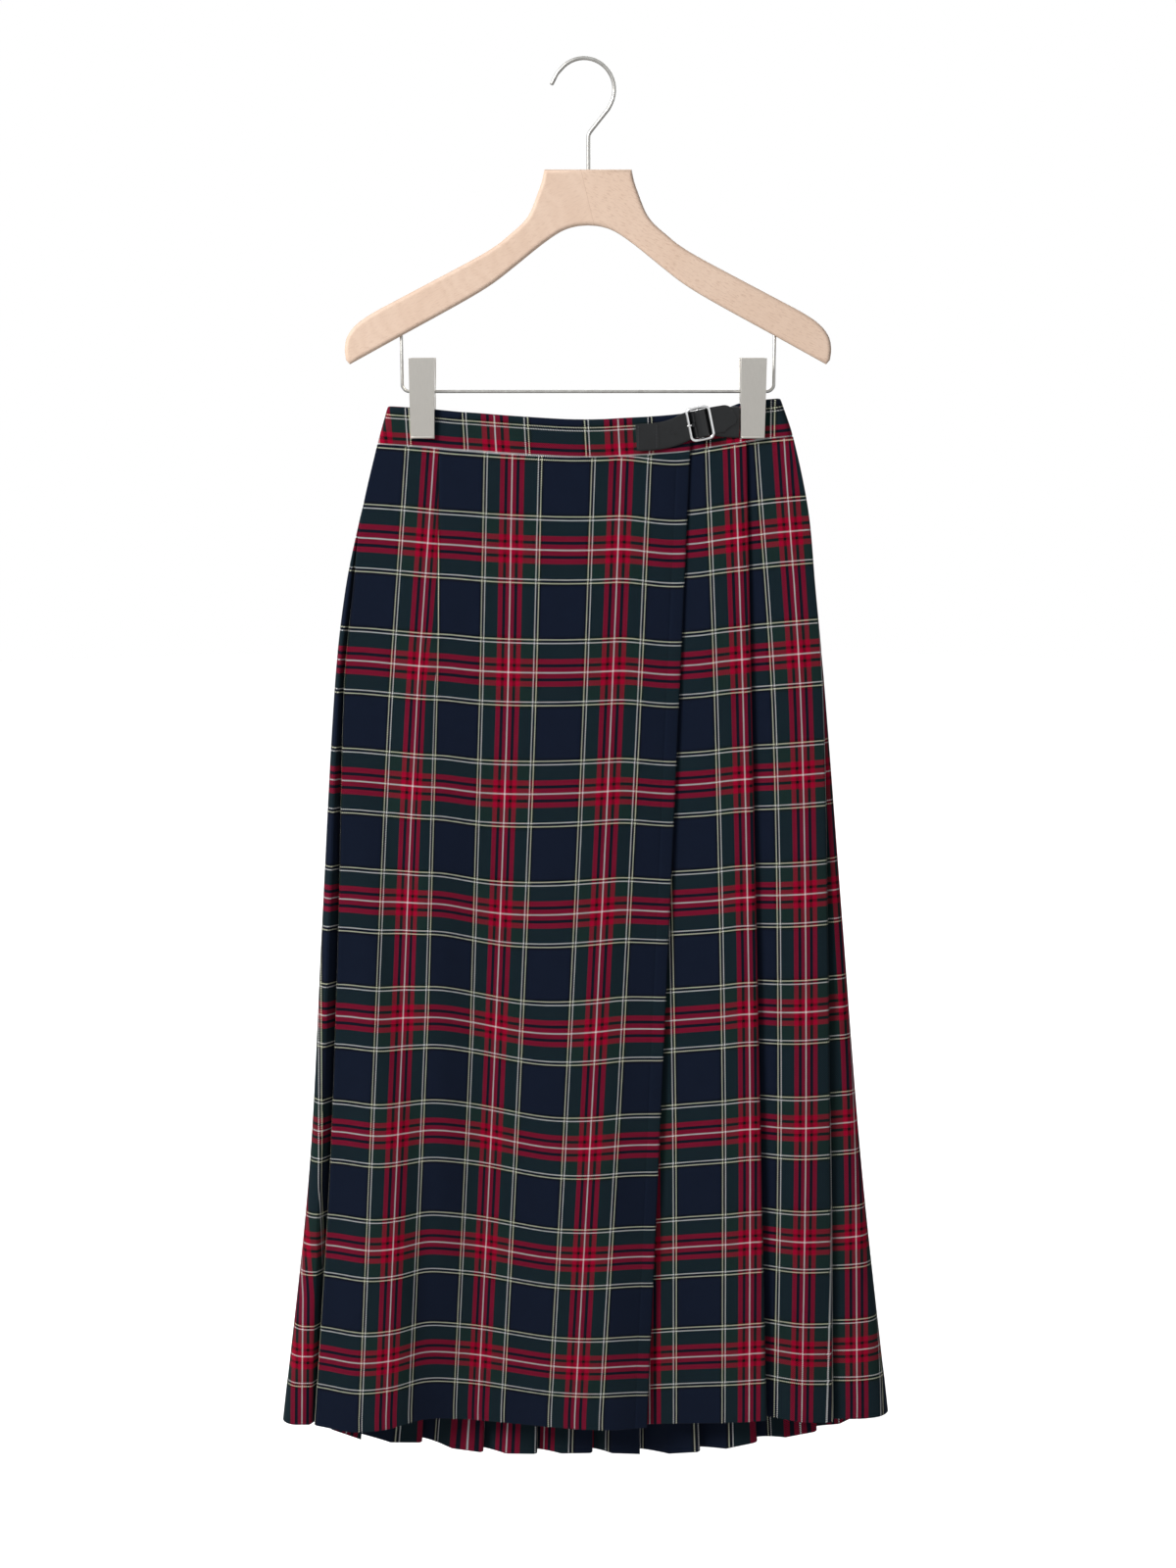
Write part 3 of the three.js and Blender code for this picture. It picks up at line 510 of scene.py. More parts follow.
def tuck(level, place, way, x):
    """The hidden fold behind a pleat, and the way back to it."""
    runs = [
        place(x + way * (-level.bend - FACE - t * (level.tuck - level.bend - FACE)), FACE + level.layer)
        for t in (0.3, 0.65)
    ]
    return runs + [
        place(x - way * (level.tuck + level.bend * math.cos(a)), FACE + level.bend * (3 + math.sin(a)))
        for a in np.radians(range(-90, 91, 30))
    ]


def face(level, place, way, start, end, steps):
    """What shows between two pleats: it comes out from under one fold and rises to the next."""
    first, last = start - way, end - way * (level.tuck - 1)
    rising = [
        place(first + (last - first) * t, FACE + 2 * level.layer * (1 - t) ** 1.5)
        for t in np.arange(steps) / steps
    ]
    edge = end - way * (level.bend + FACE + 1)
    return rising + [place(last + (edge - last) * t, FACE) for t in np.arange(6) / 6]


def cloth_places(grid, known):
    """How far across the cloth each point lies: known places are kept, the rest follow the cloth."""
    steps = np.linalg.norm(np.diff(grid[:, :, :2], axis=1), axis=2)
    run = np.concatenate([np.zeros((len(grid), 1)), np.cumsum(steps, 1)], 1)
    found = np.empty(run.shape)
    for i in range(len(grid)):
        fixed = np.isfinite(known[i])
        s, u = run[i][fixed], known[i][fixed]
        found[i] = np.interp(run[i], s, u)
        found[i][run[i] < s[0]] = u[0] - (s[0] - run[i][run[i] < s[0]])
        found[i][run[i] > s[-1]] = u[-1] + (run[i][run[i] > s[-1]] - s[-1])
    return found


def cloth_piece(name, grid, marks, thick, finish, slot, nodes, edges=None):
    """A wall of cloth about a grid of points, with its place on the cloth kept for the weave."""
    down_way = np.gradient(grid, axis=0)
    across_way = np.gradient(grid, axis=1)
    facing = np.cross(down_way, across_way)
    facing /= np.linalg.norm(facing, axis=2, keepdims=True) + 1e-9
    rows, cols = grid.shape[:2]
    outer, inner = grid + facing * thick[..., None] / 2, grid - facing * thick[..., None] / 2
    points = np.concatenate([outer.reshape(-1, 3), inner.reshape(-1, 3)])
    half = rows * cols
    faces = []
    for i in range(rows - 1):
        for j in range(cols - 1):
            a, b, c, d = i * cols + j, (i + 1) * cols + j, (i + 1) * cols + j + 1, i * cols + j + 1
            faces.append((a, b, c, d))
            faces.append((a + half, d + half, c + half, b + half))
    border = [(0, j) for j in range(cols)] + [(i, cols - 1) for i in range(1, rows)]
    border += [(rows - 1, j) for j in range(cols - 2, -1, -1)] + [(i, 0) for i in range(rows - 2, 0, -1)]
    rim = []
    for k, (i, j) in enumerate(border):
        out = np.zeros(3)
        if i in (0, rows - 1):
            out += down_way[i, j] / np.linalg.norm(down_way[i, j]) * (1 if i else -1)
        if j in (0, cols - 1):
            out += across_way[i, j] / np.linalg.norm(across_way[i, j]) * (1 if j else -1)
        rim.append(grid[i, j] + out * thick[i, j] * 0.3)
    start = len(points)
    points = np.concatenate([points, np.array(rim)])
    for k in range(len(border)):
        n = (k + 1) % len(border)
        a, b = border[k][0] * cols + border[k][1], border[n][0] * cols + border[n][1]
        faces.append((a, b, start + n, start + k))
        faces.append((start + k, start + n, b + half, a + half))
    made = add_piece(name, points, faces, finish, slot, *nodes)
    layer = made.data.uv_layers.new(name="cloth")
    flat = np.concatenate([marks.reshape(-1, 2)] * 2 + [np.array([marks[i, j] for i, j in border])])
    corners = np.empty(len(made.data.loops), dtype=np.int32)
    made.data.loops.foreach_get("vertex_index", corners)
    layer.data.foreach_set("uv", flat[corners].astype(np.float32).ravel())
    return made


SETT_THREADS = 204  # in both sets of threads; the warp is set closer than the weft
SETT_ACROSS, SETT_DOWN = 88.5, 103.5
HALF = SETT_THREADS / 2

tartan = Finish(
    "wool_twill_check", Roughness=0.85, IOR=1.4, Specular_IOR_Level=0.1, Sheen_Weight=0.02,
    Sheen_Roughness=0.6,
)
spot = tartan.node("UVMap", {"uv_map": "cloth"})
parts = tartan.node("SeparateXYZ", Vector=spot)
warp_count = Amount(parts.socket.node.outputs[0]) * (1000 * SETT_THREADS / SETT_ACROSS)
weft_count = Amount(parts.socket.node.outputs[1]) * (1000 * SETT_THREADS / SETT_DOWN)
red, green, navy, dark = linear(180, 0, 49), linear(27, 49, 47), linear(17, 28, 49), linear(10, 11, 17)
white, yellow = linear(255, 255, 255), linear(252, 253, 220)


def stripes(count, edges):
    """The colours of one set of threads, mirrored about the middle of the red band."""
    from_red = abs((count / SETT_THREADS + 0.5).fract() - 0.5) * 2
    stops = [(threads / HALF, colour) for threads, colour in edges]
    return tartan.node("ValToRGB", {"interpolation": "CONSTANT", "stops": stops}, Fac=from_red)


outer_stripes = [(23, green), (48, white), (50, dark), (54, yellow), (56, dark), (60, navy)]
warp = stripes(warp_count, [(0, white), (1, red), (8, dark), (14, red), *outer_stripes])
weft = stripes(weft_count, [(0, white), (1, red), (9, dark), (14, red), *outer_stripes])
# two over, two under: each float is brightest and highest half way along and dives at both ends
over = ((warp_count.floor() + weft_count.floor()) / 4).fract() < 0.5
warp_float = ((warp_count.floor() + weft_count) * (math.pi / 2)).maths("SINE")
weft_float = ((warp_count + weft_count.floor()) * (math.pi / 2)).maths("SINE")


def rounded(count):
    """The height of a round thread across its own width."""
    return 1 - abs(count.fract() * 2 - 1)


raised = over * (warp_float * (0.6 + 0.4 * rounded(warp_count))) - (1 - over) * (
    weft_float * (0.6 + 0.4 * rounded(weft_count))
)
raised = raised.maths("MAXIMUM", raised, 0.0)
cloudy = tartan.node("TexNoise", Vector=spot, Scale=60.0, Detail=4.0)
fuzz = tartan.node("TexNoise", Vector=spot, Scale=2600.0, Detail=2.0)
depth = raised.maths("POWER", raised, 0.7) * 0.8 + cloudy * 0.14 + fuzz * 0.16
shade = tartan.node("ValToRGB", {"stops": [(0, (0.1, 0.1, 0.1, 1)), (1, (1, 1, 1, 1))]}, Fac=depth)
colour = tartan.blend(1.0, tartan.blend(over, weft, warp), shade, "MULTIPLY")
weave_bump = tartan.node("Bump", Height=raised + fuzz * 0.4, Strength=0.35, Distance=0.00014)
tartan.feed(Base_Color=colour, Roughness=0.74 + fuzz * 0.2, Normal=weave_bump)

ROWS = np.unique(
    np.concatenate(
        [
            np.linspace(0, 60, 10), np.linspace(60, CLOTH_LENGTH - 5, 110),
            [CLOTH_LENGTH - 2.5, CLOTH_LENGTH - 0.8, CLOTH_LENGTH],
        ]
    )
)
hang = Levels(ROWS)

# where the middles of the red bands lie at the waist, the hip, the knee and the hem
REDS = {
    "down": [0, 230, 550, 850],
    "apron_first": [-128, -146, -164, -180],
    "apron_second": [-63, -69, -83, -99],
    "apron_third": [28, 19, 4, -12],
    "under": [122, 132, 141, 144],
    "first_pleat": [163, 181, 190, 191],
    "second_pleat": [196, 209, 232, 241],
}
reds = {column: smooth(REDS, column, ROWS) for column in REDS}
FIRST_RED = 78  # from the waist seam down to the middle of the first red band
SAG = 6.5  # how far the cross threads rise towards the sides, where the cloth is pulled up
CREST = 10.5  # how far they hang down again over the fold left of the middle
LAP_DROP = 7.5  # how much lower the apron's cross threads lie at the lap than those under it


def down_places(level, grid, lap_drop):
    """How far down the cloth each point lies, from the middle of a red band."""
    x, lowered = grid[:, :, 0], level.lowered[:, None]
    from_crest = x + 90 - 65 * ease(2.2 * lowered - 0.6)
    crest = CREST * np.exp(-(((lowered - 0.62) / 0.42) ** 2)) * np.exp(
        -((from_crest / np.where(from_crest < 0, 62, 85)) ** 2)
    )
    drift = crest - SAG * ease(1.3 * lowered + 0.25) + lap_drop * (1 - lowered / 3) * ease((x - 20) / 60)
    gathered = 0.6 * (1 - ease(level.down[:, None] / 40))
    return level.down[:, None] - FIRST_RED - drift - gathered


def unknown(count):
    return [np.full(len(ROWS), np.nan)] * count


HEM_TURNED, HEM_EDGE = 40, 4  # the hem's turning, and how fast the cloth thickens there


def hang_panel(name, node, columns, known, flat, rests_on, lap_drop=0, **cut):
    """A panel of the skirt, from its columns and what is known of their places on the cloth."""
    grid = np.stack(columns, 1)
    marks = np.stack([cloth_places(grid, np.stack(known, 1)), down_places(hang, grid, lap_drop)], 2)
    thick = CLOTH_THICK * (1 + 0.5 * ease((ROWS - (CLOTH_LENGTH - HEM_TURNED)) / HEM_EDGE))
    thick = np.repeat(thick[:, None], grid.shape[1], 1)
    made = cloth_piece(name, grid, marks * MM, thick, tartan, "cloth", [node])


# Over apron. The flat front panel: a fold stands on its left edge, a dart shapes the hip, and its
# free right edge is turned under and stitched down 10.6 mm in.
HEM_IN = 10.6
lefts, lap = hang.apron, hang.lap
behind = [hang.front(lefts + hang.tuck * t, FACE + hang.layer) for t in (1, 0.75, 0.5)]
turn = [
    hang.front(lefts + FACE + hang.bend * (1 - math.cos(a)), FACE + hang.bend * (1 + math.sin(a)))
    for a in np.radians(range(90, -91, -20))
]
stitched = [0.0, 0.9, 2.5, 5.5, 8.6, 9.9, HEM_IN, 11.3, 12.6, 15]
sunk = [0.35, 0.0, -0.1, -0.1, 0.0, 0.15, 0.5, 0.25, 0.2, 0.1]
one, two, three = reds["apron_first"], reds["apron_second"], reds["apron_third"]
PAIR = 22.6  # from a red band's middle to the middle of the white and yellow threads beside it
even = PAIR * (two - one) / SETT_ACROSS
DART_FADES = 490  # below this the dart's line is the even one again
dart = np.where(ROWS < DART_FADES, np.interp(ROWS, [0, 150, DART_FADES], [-124, -127, -140]), one + even)
next_pair = np.where(
    ROWS < DART_FADES, np.interp(ROWS, [0, 200, DART_FADES], [-85, -90.5, -101]), two - even,
)
before_dart = np.interp(ROWS, [0, 60, 144, 195], [4, 8.5, 14.5, PAIR])
after_dart = np.interp(ROWS, [0, 95, 195], [26, 23.3, PAIR])
dart_sunk = 0.4 * (1 - ease((ROWS - 100) / 80))
body_x = [(lefts + 4 + (dart - 0.8 - lefts - 4) * t, 0) for t in np.linspace(0, 1, 24)]
body_x += [(dart - 0.1, dart_sunk), (dart + 0.1, dart_sunk)]
body_x += [(dart + 0.8 + (lap - 18 - dart - 0.8) * t, 0) for t in np.linspace(0, 1, 74)]
face_columns = body_x + [(lap - d, s) for d, s in zip(stitched[::-1], sunk[::-1])]
columns = behind + turn + [hang.front(x, FACE + s) for x, s in face_columns]
known = unknown(len(behind) + len(turn))
at_edge = np.interp(ROWS, [0, 60, 110, CLOTH_LENGTH], [-49, -61, -64.8, -64.8])
for x, _ in face_columns:
    pair = one - 22.3
    left_of_pair = -22.3 + (x - pair) * (at_edge + 22.3) / (lefts - pair)
    left_of_dart = np.where(
        x < pair, left_of_pair, (x - one) * np.where(x < one, 1.0, before_dart / (dart - one)),
    )
    far_pair = SETT_ACROSS - PAIR
    past_dart = after_dart + (x - dart) * (far_pair - after_dart) / (next_pair - dart)
    right_of_dart = np.where(
        x < next_pair, past_dart, far_pair + (x - next_pair) * PAIR / (two - next_pair),
    )
    inner = np.where(x < dart, left_of_dart, right_of_dart)
    outer = np.where(
        x < three, SETT_ACROSS * (1 + (x - two) / (three - two)), 2 * SETT_ACROSS + (x - three) * 0.97,
    )
    known.append(np.where(x < two, inner, outer))
hang_panel("over_apron_cloth", "over_apron", columns, known, (0.34, 0.90), "waistband_over", LAP_DROP)

# Under apron. The inner front panel, which shows between the lap and the first pleat at the right.
lapped = hang.lap + 2
rise_end = hang.first - hang.tuck + 1
deeper = 1.8 * hang.lowered
columns = [
    hang.front(hang.under_end + (lapped - hang.under_end) * t, FACE + hang.layer + deeper * ease(4 * t - 3))
    for t in np.linspace(0, 1, 40)[:-1]
]
columns += [
    hang.front(lapped + (rise_end - lapped) * t, FACE + (hang.layer + deeper) * (1 - t) ** 1.5)
    for t in np.arange(14) / 14
]
edge = hang.first - hang.bend - FACE - 1
columns += [hang.front(rise_end + (edge - rise_end) * t, FACE) for t in np.arange(6) / 6]
known = [column[:, 0] - reds["under"] for column in columns]
folded = crease(hang, hang.front, 1, hang.first) + tuck(hang, hang.front, 1, hang.first)[:2]
known += unknown(len(folded))
hang_panel("under_apron_cloth", "under_apron", columns + folded, known, (0.39, 0.90), "waistband_under")

# Right panel. Two pleats at the front, folded like those of the back, then round the side.
clear = np.clip(1 - (hang.right - hang.half - hang.second) / 50, 0, 1)
tip = 1.5 * np.clip(1 - ROWS / 200, 0, 1)
start = tuck(hang, hang.front, 1, hang.first)[-1:]
shown = face(hang, hang.front, 1, hang.first, hang.second, 16)
folded = crease(hang, hang.front, 1, hang.second) + tuck(hang, hang.front, 1, hang.second)
coming = [
    hang.front(
        hang.second - hang.tuck + (hang.right - hang.half - hang.second + hang.tuck) * t,
        FACE + 2 * hang.layer * (1 + (clear - 1) * ease(t)),
    )
    for t in np.arange(1, 10) / 10
]
round_side = [
    hang.side(
        1, a,
        FACE + 2 * hang.layer * clear * (1 - ease((a + 90) / 105)) + tip * ease((a + 90) / 60) * (
            1 - ease((a - 50) / 40)
        ),
    )
    for a in range(-90, 91, 12)
]
fold_0 = hang.middle + BACK_FOLDS[0] * hang.reach
side_end = hang.right - hang.half
behind_x = [side_end + (fold_0 + hang.bend + FACE + 1 - side_end) * t for t in np.arange(1, 6) / 6]
behind = [hang.back(x, FACE) for x in behind_x]
closing = crease(hang, hang.back, -1, fold_0) + tuck(hang, hang.back, -1, fold_0)[:2]
columns = start + shown + folded + coming + round_side + behind + closing
known = unknown(1) + [c[:, 0] - reds["first_pleat"] for c in shown] + unknown(len(folded))
known += [SETT_ACROSS + c[:, 0] - reds["second_pleat"] for c in coming] + unknown(
    len(round_side) + len(behind) + len(closing)
)
hang_panel("right_panel_cloth", "right_panel", columns, known, (0.29, 0.90), "waistband_under", area=0.205)

# Back. Ten knife pleats, each take-up a little wider than the sett, so that the check moves on from
# pleat to pleat.
TAKE_UP = 103.4
FIRST_FOLD, FACE_SHOWN = -9.9, 28.5  # from a red band to the first fold; what a pleat shows


def back_panel(first, last):
    folds = [hang.middle + share * hang.reach for share in BACK_FOLDS]
    columns, known = tuck(hang, hang.back, -1, folds[first - 1])[-1:], unknown(1)
    for k in range(first, last + 1):
        at_fold = FIRST_FOLD + TAKE_UP * (k - 1) - FACE_SHOWN
        if k > first:
            hidden = tuck(hang, hang.back, -1, folds[k - 1])
            columns += hidden
            behind_fold = np.full(len(ROWS), at_fold + FACE_SHOWN - TAKE_UP)
            known += unknown(len(hidden) - 4) + [behind_fold] + unknown(3)
        shown = face(hang, hang.back, -1, folds[k - 1], folds[k], 14)
        columns += shown
        known += [at_fold - (c[:, 0] - folds[k]) * 1.02 for c in shown]
        turned = crease(hang, hang.back, -1, folds[k])
        columns += turned
        known += unknown(len(turned))
    closing = tuck(hang, hang.back, -1, folds[last])[:2]
    return columns + closing, known + unknown(2)


for name, node, (first, last), width in (
    ("back_left_cloth", "back_pleats_left", (5, 9), 0.56),
    ("back_right_cloth", "back_pleats_right", (1, 4), 0.46),
):
    hang_panel(name, node, *back_panel(first, last), (width, 0.90), "waistband_back")

# Left panel. The back's last pleat comes round the side, shows as a narrow roll beside the apron
# and folds sharply back into a deep valley behind the apron's edge.
last_fold = hang.middle + BACK_FOLDS[-1] * hang.reach
valley = np.interp(ROWS, [0, 140, 420, 600, 860], [0.6, 4, 8.5, 8.5, 4.5])
strip_red = hang.apron - np.interp(ROWS, [0, 300, 640, 740, 860], [43, 43, 30, 17, 11])
room = hang.apron - valley - hang.left
turned = np.maximum(9, np.degrees(np.arccos(np.clip(1 - np.maximum(0, room) / hang.half, 0, 1))))
past = np.maximum(0, room - hang.half)
tip = 1.5 * np.clip(1 - ROWS / 60, 0, 1)
start = tuck(hang, hang.back, -1, last_fold)[-1:]
leaving = [
    hang.back(
        last_fold + 1 + (hang.left + hang.half - last_fold - 1) * t,
        FACE + 2 * hang.layer * (1 - t) ** 1.5,
    )
    for t in np.arange(10) / 10
]
rounding = [hang.side(-1, a, FACE + tip * ease((a - 90) / 40)) for a in range(90, 180, 12)]
rounding += [hang.side(-1, 180 + turned * t, FACE + tip) for t in np.linspace(0, 1, 12)]
shoulder = rounding[-1]
flat_part = [shoulder + np.stack([past * t, 0 * past, 0 * past], 1) for t in (0.5, 1)]
brink = flat_part[-1]
floor_start = np.maximum(hang.apron + 1, hang.left + 4 + tip)
sunken = 3.5 * ease(ROWS / 130)
valley_floor = [
    hang.front(
        floor_start + (hang.apron + hang.tuck - floor_start) * t,
        FACE + 2 * hang.layer + sunken * (1 - ease(3 * t)),
    )
    for t in np.linspace(0, 1, 13)
]
drop = [
    brink + (valley_floor[0] - brink) * t + np.stack(
        [np.sin(np.pi * t) * 0.8 * hang.lowered, 0 * past, 0 * past], 1,
    )
    for t in (0.12, 0.3, 0.55, 0.8)
]
columns = start + leaving + rounding + flat_part + drop + valley_floor
known = unknown(1 + len(leaving) + 8 + 4)
known += [c[:, 0] - strip_red for c in rounding[12:] + flat_part] + unknown(len(drop) + len(valley_floor))
hang_panel("left_panel_cloth", "left_panel", columns, known, (0.155, 0.90), "waistband_over", area=0.105)

# Waistband. The same cloth turned to the other grain over a stiffener, 31 mm high and 3 mm thick,
# in three lengths, with a rounded fold along its top.
BAND_WALL = 3
BAND_SPLIT = 150
band_rows = np.array([-BAND_HEIGHT, -30.6, -29.8, -28.6, *np.linspace(-27, -3.2, 12), -1.6, -0.7, -0.3])
band = Levels(band_rows)
mid = BAND_WALL / 2 + 0 * band.down
band_thick = np.array([1.6, 2.3, 2.75, 2.95, *[3.0] * 12, 2.9, 2.5, 1.8])


def band_piece(name, columns, node, known):
    """A length of band; known says how far past a red band's middle some of its columns lie."""
    grid = np.stack(columns, 1)
    along = np.full(grid.shape[:2], np.nan)
    for column, value in known.items():
        along[:, column] = value
    up = np.repeat(-0.8 - band.down[:, None], grid.shape[1], 1)
    marks = np.stack([up, cloth_places(grid, along)], 2) * MM
    return cloth_piece(
        name, grid, marks, np.repeat(band_thick[:, None], grid.shape[1], 1), tartan, "band_cloth", [node],
    )


def round_left(inset):
    return [band.side(-1, a, inset) for a in range(90, 271, 12)]


def straight(place, start, end, inset, steps):
    return [place(start + (end - start) * t, inset) for t in np.linspace(0, 1, steps)]


flat_left = band.left + band.half
onward = straight(band.front, flat_left, band.lap, mid, 66)
leaning = 1.6 * ((band.down + BAND_HEIGHT) / BAND_HEIGHT - 0.5)
checks = {
    17 + k: np.interp(
        column[:, 0] - leaning, [-174, -151, -77.2, 25.7, 128.6],
        [-103.5, -78.6, 0, SETT_DOWN, 2 * SETT_DOWN],
    )
    for k, column in enumerate(onward)
}
over = band_piece(
    "waistband_over_cloth",
    [band.back(x + 0 * mid, mid) for x in (-BAND_SPLIT, -155)] + round_left(mid) + onward[1:],
    "waistband_over", checks,
)
around = straight(band.back, BAND_SPLIT - 0.3 + 0 * mid, 0.3 - BAND_SPLIT + 0 * mid, mid, 60)
around_back = band_piece("waistband_back_cloth", around, "waistband_back", {0: 20})
beneath = straight(band.front, -BAND_SPLIT + 0 * mid, band.lap + 2, mid * 3 + 0.4, 30)
outside = straight(band.front, band.lap + 22, band.right - band.half, mid, 22)
round_right = [band.side(1, a, mid) for a in range(-90, 91, 12)]
between = [
    band.front(band.lap + 2 + 20 * t, mid + (2 * mid + 0.4) * (1 - ease(t)))
    for t in (0.2, 0.4, 0.6, 0.8)
]
for column in outside:  # the clip presses the band's top down a little
    column[:, 2] += 2.6 * np.exp(-(((column[:, 0] - 126) / 15) ** 2)) * band.down / BAND_HEIGHT
under = band_piece(
    "waistband_under_cloth",
    beneath + between + outside + round_right[1:] + [band.back(BAND_SPLIT + 0 * mid, mid)],
    "waistband_under", {34: band.lap - 1.5},
)


# Clips. Folded strip of satin nickel, one jaw before and one behind, hinged on the hanger's bar and
# pressed shut by a coiled spring; both edges of each lip are folded in.
satin = Finish("satin_nickel", Metallic=1.0, Roughness=0.36)
brushed = satin.node("TexCoord", output=3)
long_marks = satin.node("VectorMath", {"operation": "MULTIPLY"}, _0=brushed, _1=(2600.0, 2600.0, 120.0))
scratches = satin.node("TexNoise", Vector=long_marks, Scale=1.0, Detail=3.0)
satin.feed(
    Base_Color=satin.node(
        "ValToRGB", {"stops": [(0.25, linear(207, 202, 194)), (0.75, linear(214, 209, 201))]},
        Fac=scratches,
    ),
    Roughness=0.32 + scratches * 0.06,
    Normal=satin.node("Bump", Height=scratches, Strength=0.02, Distance=0.0001),
)
CLIP_CENTRES = {"clip_left": -137.4, "clip_right": 136.8}
for clip, middle_x in CLIP_CENTRES.items():
    for jaw in ("front", "back"):
        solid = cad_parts[f"{clip}_{jaw}"]
        mesh = bpy.data.meshes.new(f"{clip}_{jaw}_plate")
        edges = bmesh.new()
        edges.from_mesh(solid.data)
        bmesh.ops.remove_doubles(edges, verts=edges.verts, dist=0.00001)
        bmesh.ops.dissolve_limit(edges, angle_limit=math.radians(1.5), verts=edges.verts, edges=edges.edges)
        for corner in edges.verts:  # the jaws narrow towards the lip
            narrowed = 1 - 0.08 * float(ease((-262 - corner.co.z / MM) / 41))
            centre = middle_x * MM + HOOK_SHIFT
            corner.co.x = centre + (corner.co.x - centre) * narrowed
        edges.to_mesh(mesh)
        edges.free()
        plate = bpy.data.objects.new(f"{clip}_{jaw}_plate", mesh)
        scene.collection.objects.link(plate)
        rounding = plate.modifiers.new("rounding", "BEVEL")
        rounding.width, rounding.segments = 0.0004, 3
        rounding.limit_method, rounding.angle_limit = "ANGLE", math.radians(35)
        mesh.materials.clear()
        mesh.materials.append(satin.material)
        mesh.shade_smooth()
        mesh.set_sharp_from_angle(angle=math.radians(40))
        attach(plate, "root")
        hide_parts(f"{clip}_{jaw}")
    lip = [(middle_x + x, -9.75, -302.2) for x in np.linspace(-9.3, 9.3, 7)]
    add_piece(f"{clip}_lip", *wire(lip, 1.1, (0, 1, 0), 16), satin, "nickel")
    turns, coil = 6.5, []
    for a in np.arange(0, turns * 360 + 1, 20):
        coil.append(
            (
                middle_x - 4.4 + 8.8 * a / (turns * 360), 2.42 * math.sin(math.radians(a)),
                BAR_HEIGHT + 2.42 * math.cos(math.radians(a)),
            )
        )
    add_piece(f"{clip}_spring_coil", *wire(coil, 0.62, (1, 0, 0), 8), steel, "nickel", f"{clip}_spring")


# Strap, keeper patch and chape. Black leather 22.6 mm wide, skived at the ends: the strap is sewn to
# the over band and runs up over the buckle; the chape holds the buckle and goes under the right clip.
ON_BAND, ON_LEATHER = -7.5, -9.6
LEFT_SIDE, RIGHT_SIDE, CENTRE_BAR, OVER_BAR, HUMP = -9.8, -11.9, -10.6, -12.9, -15.0
STRAP_WIDTH, LEATHER_THICK = 22.6, 1.8
BUCKLE_X, BUCKLE_Z, TILT = 93, -290.8, math.radians(12)


def spot_at(along_axis, y, width=STRAP_WIDTH):
    return (BUCKLE_X + along_axis * math.cos(TILT), y, BUCKLE_Z + along_axis * math.sin(TILT), width)


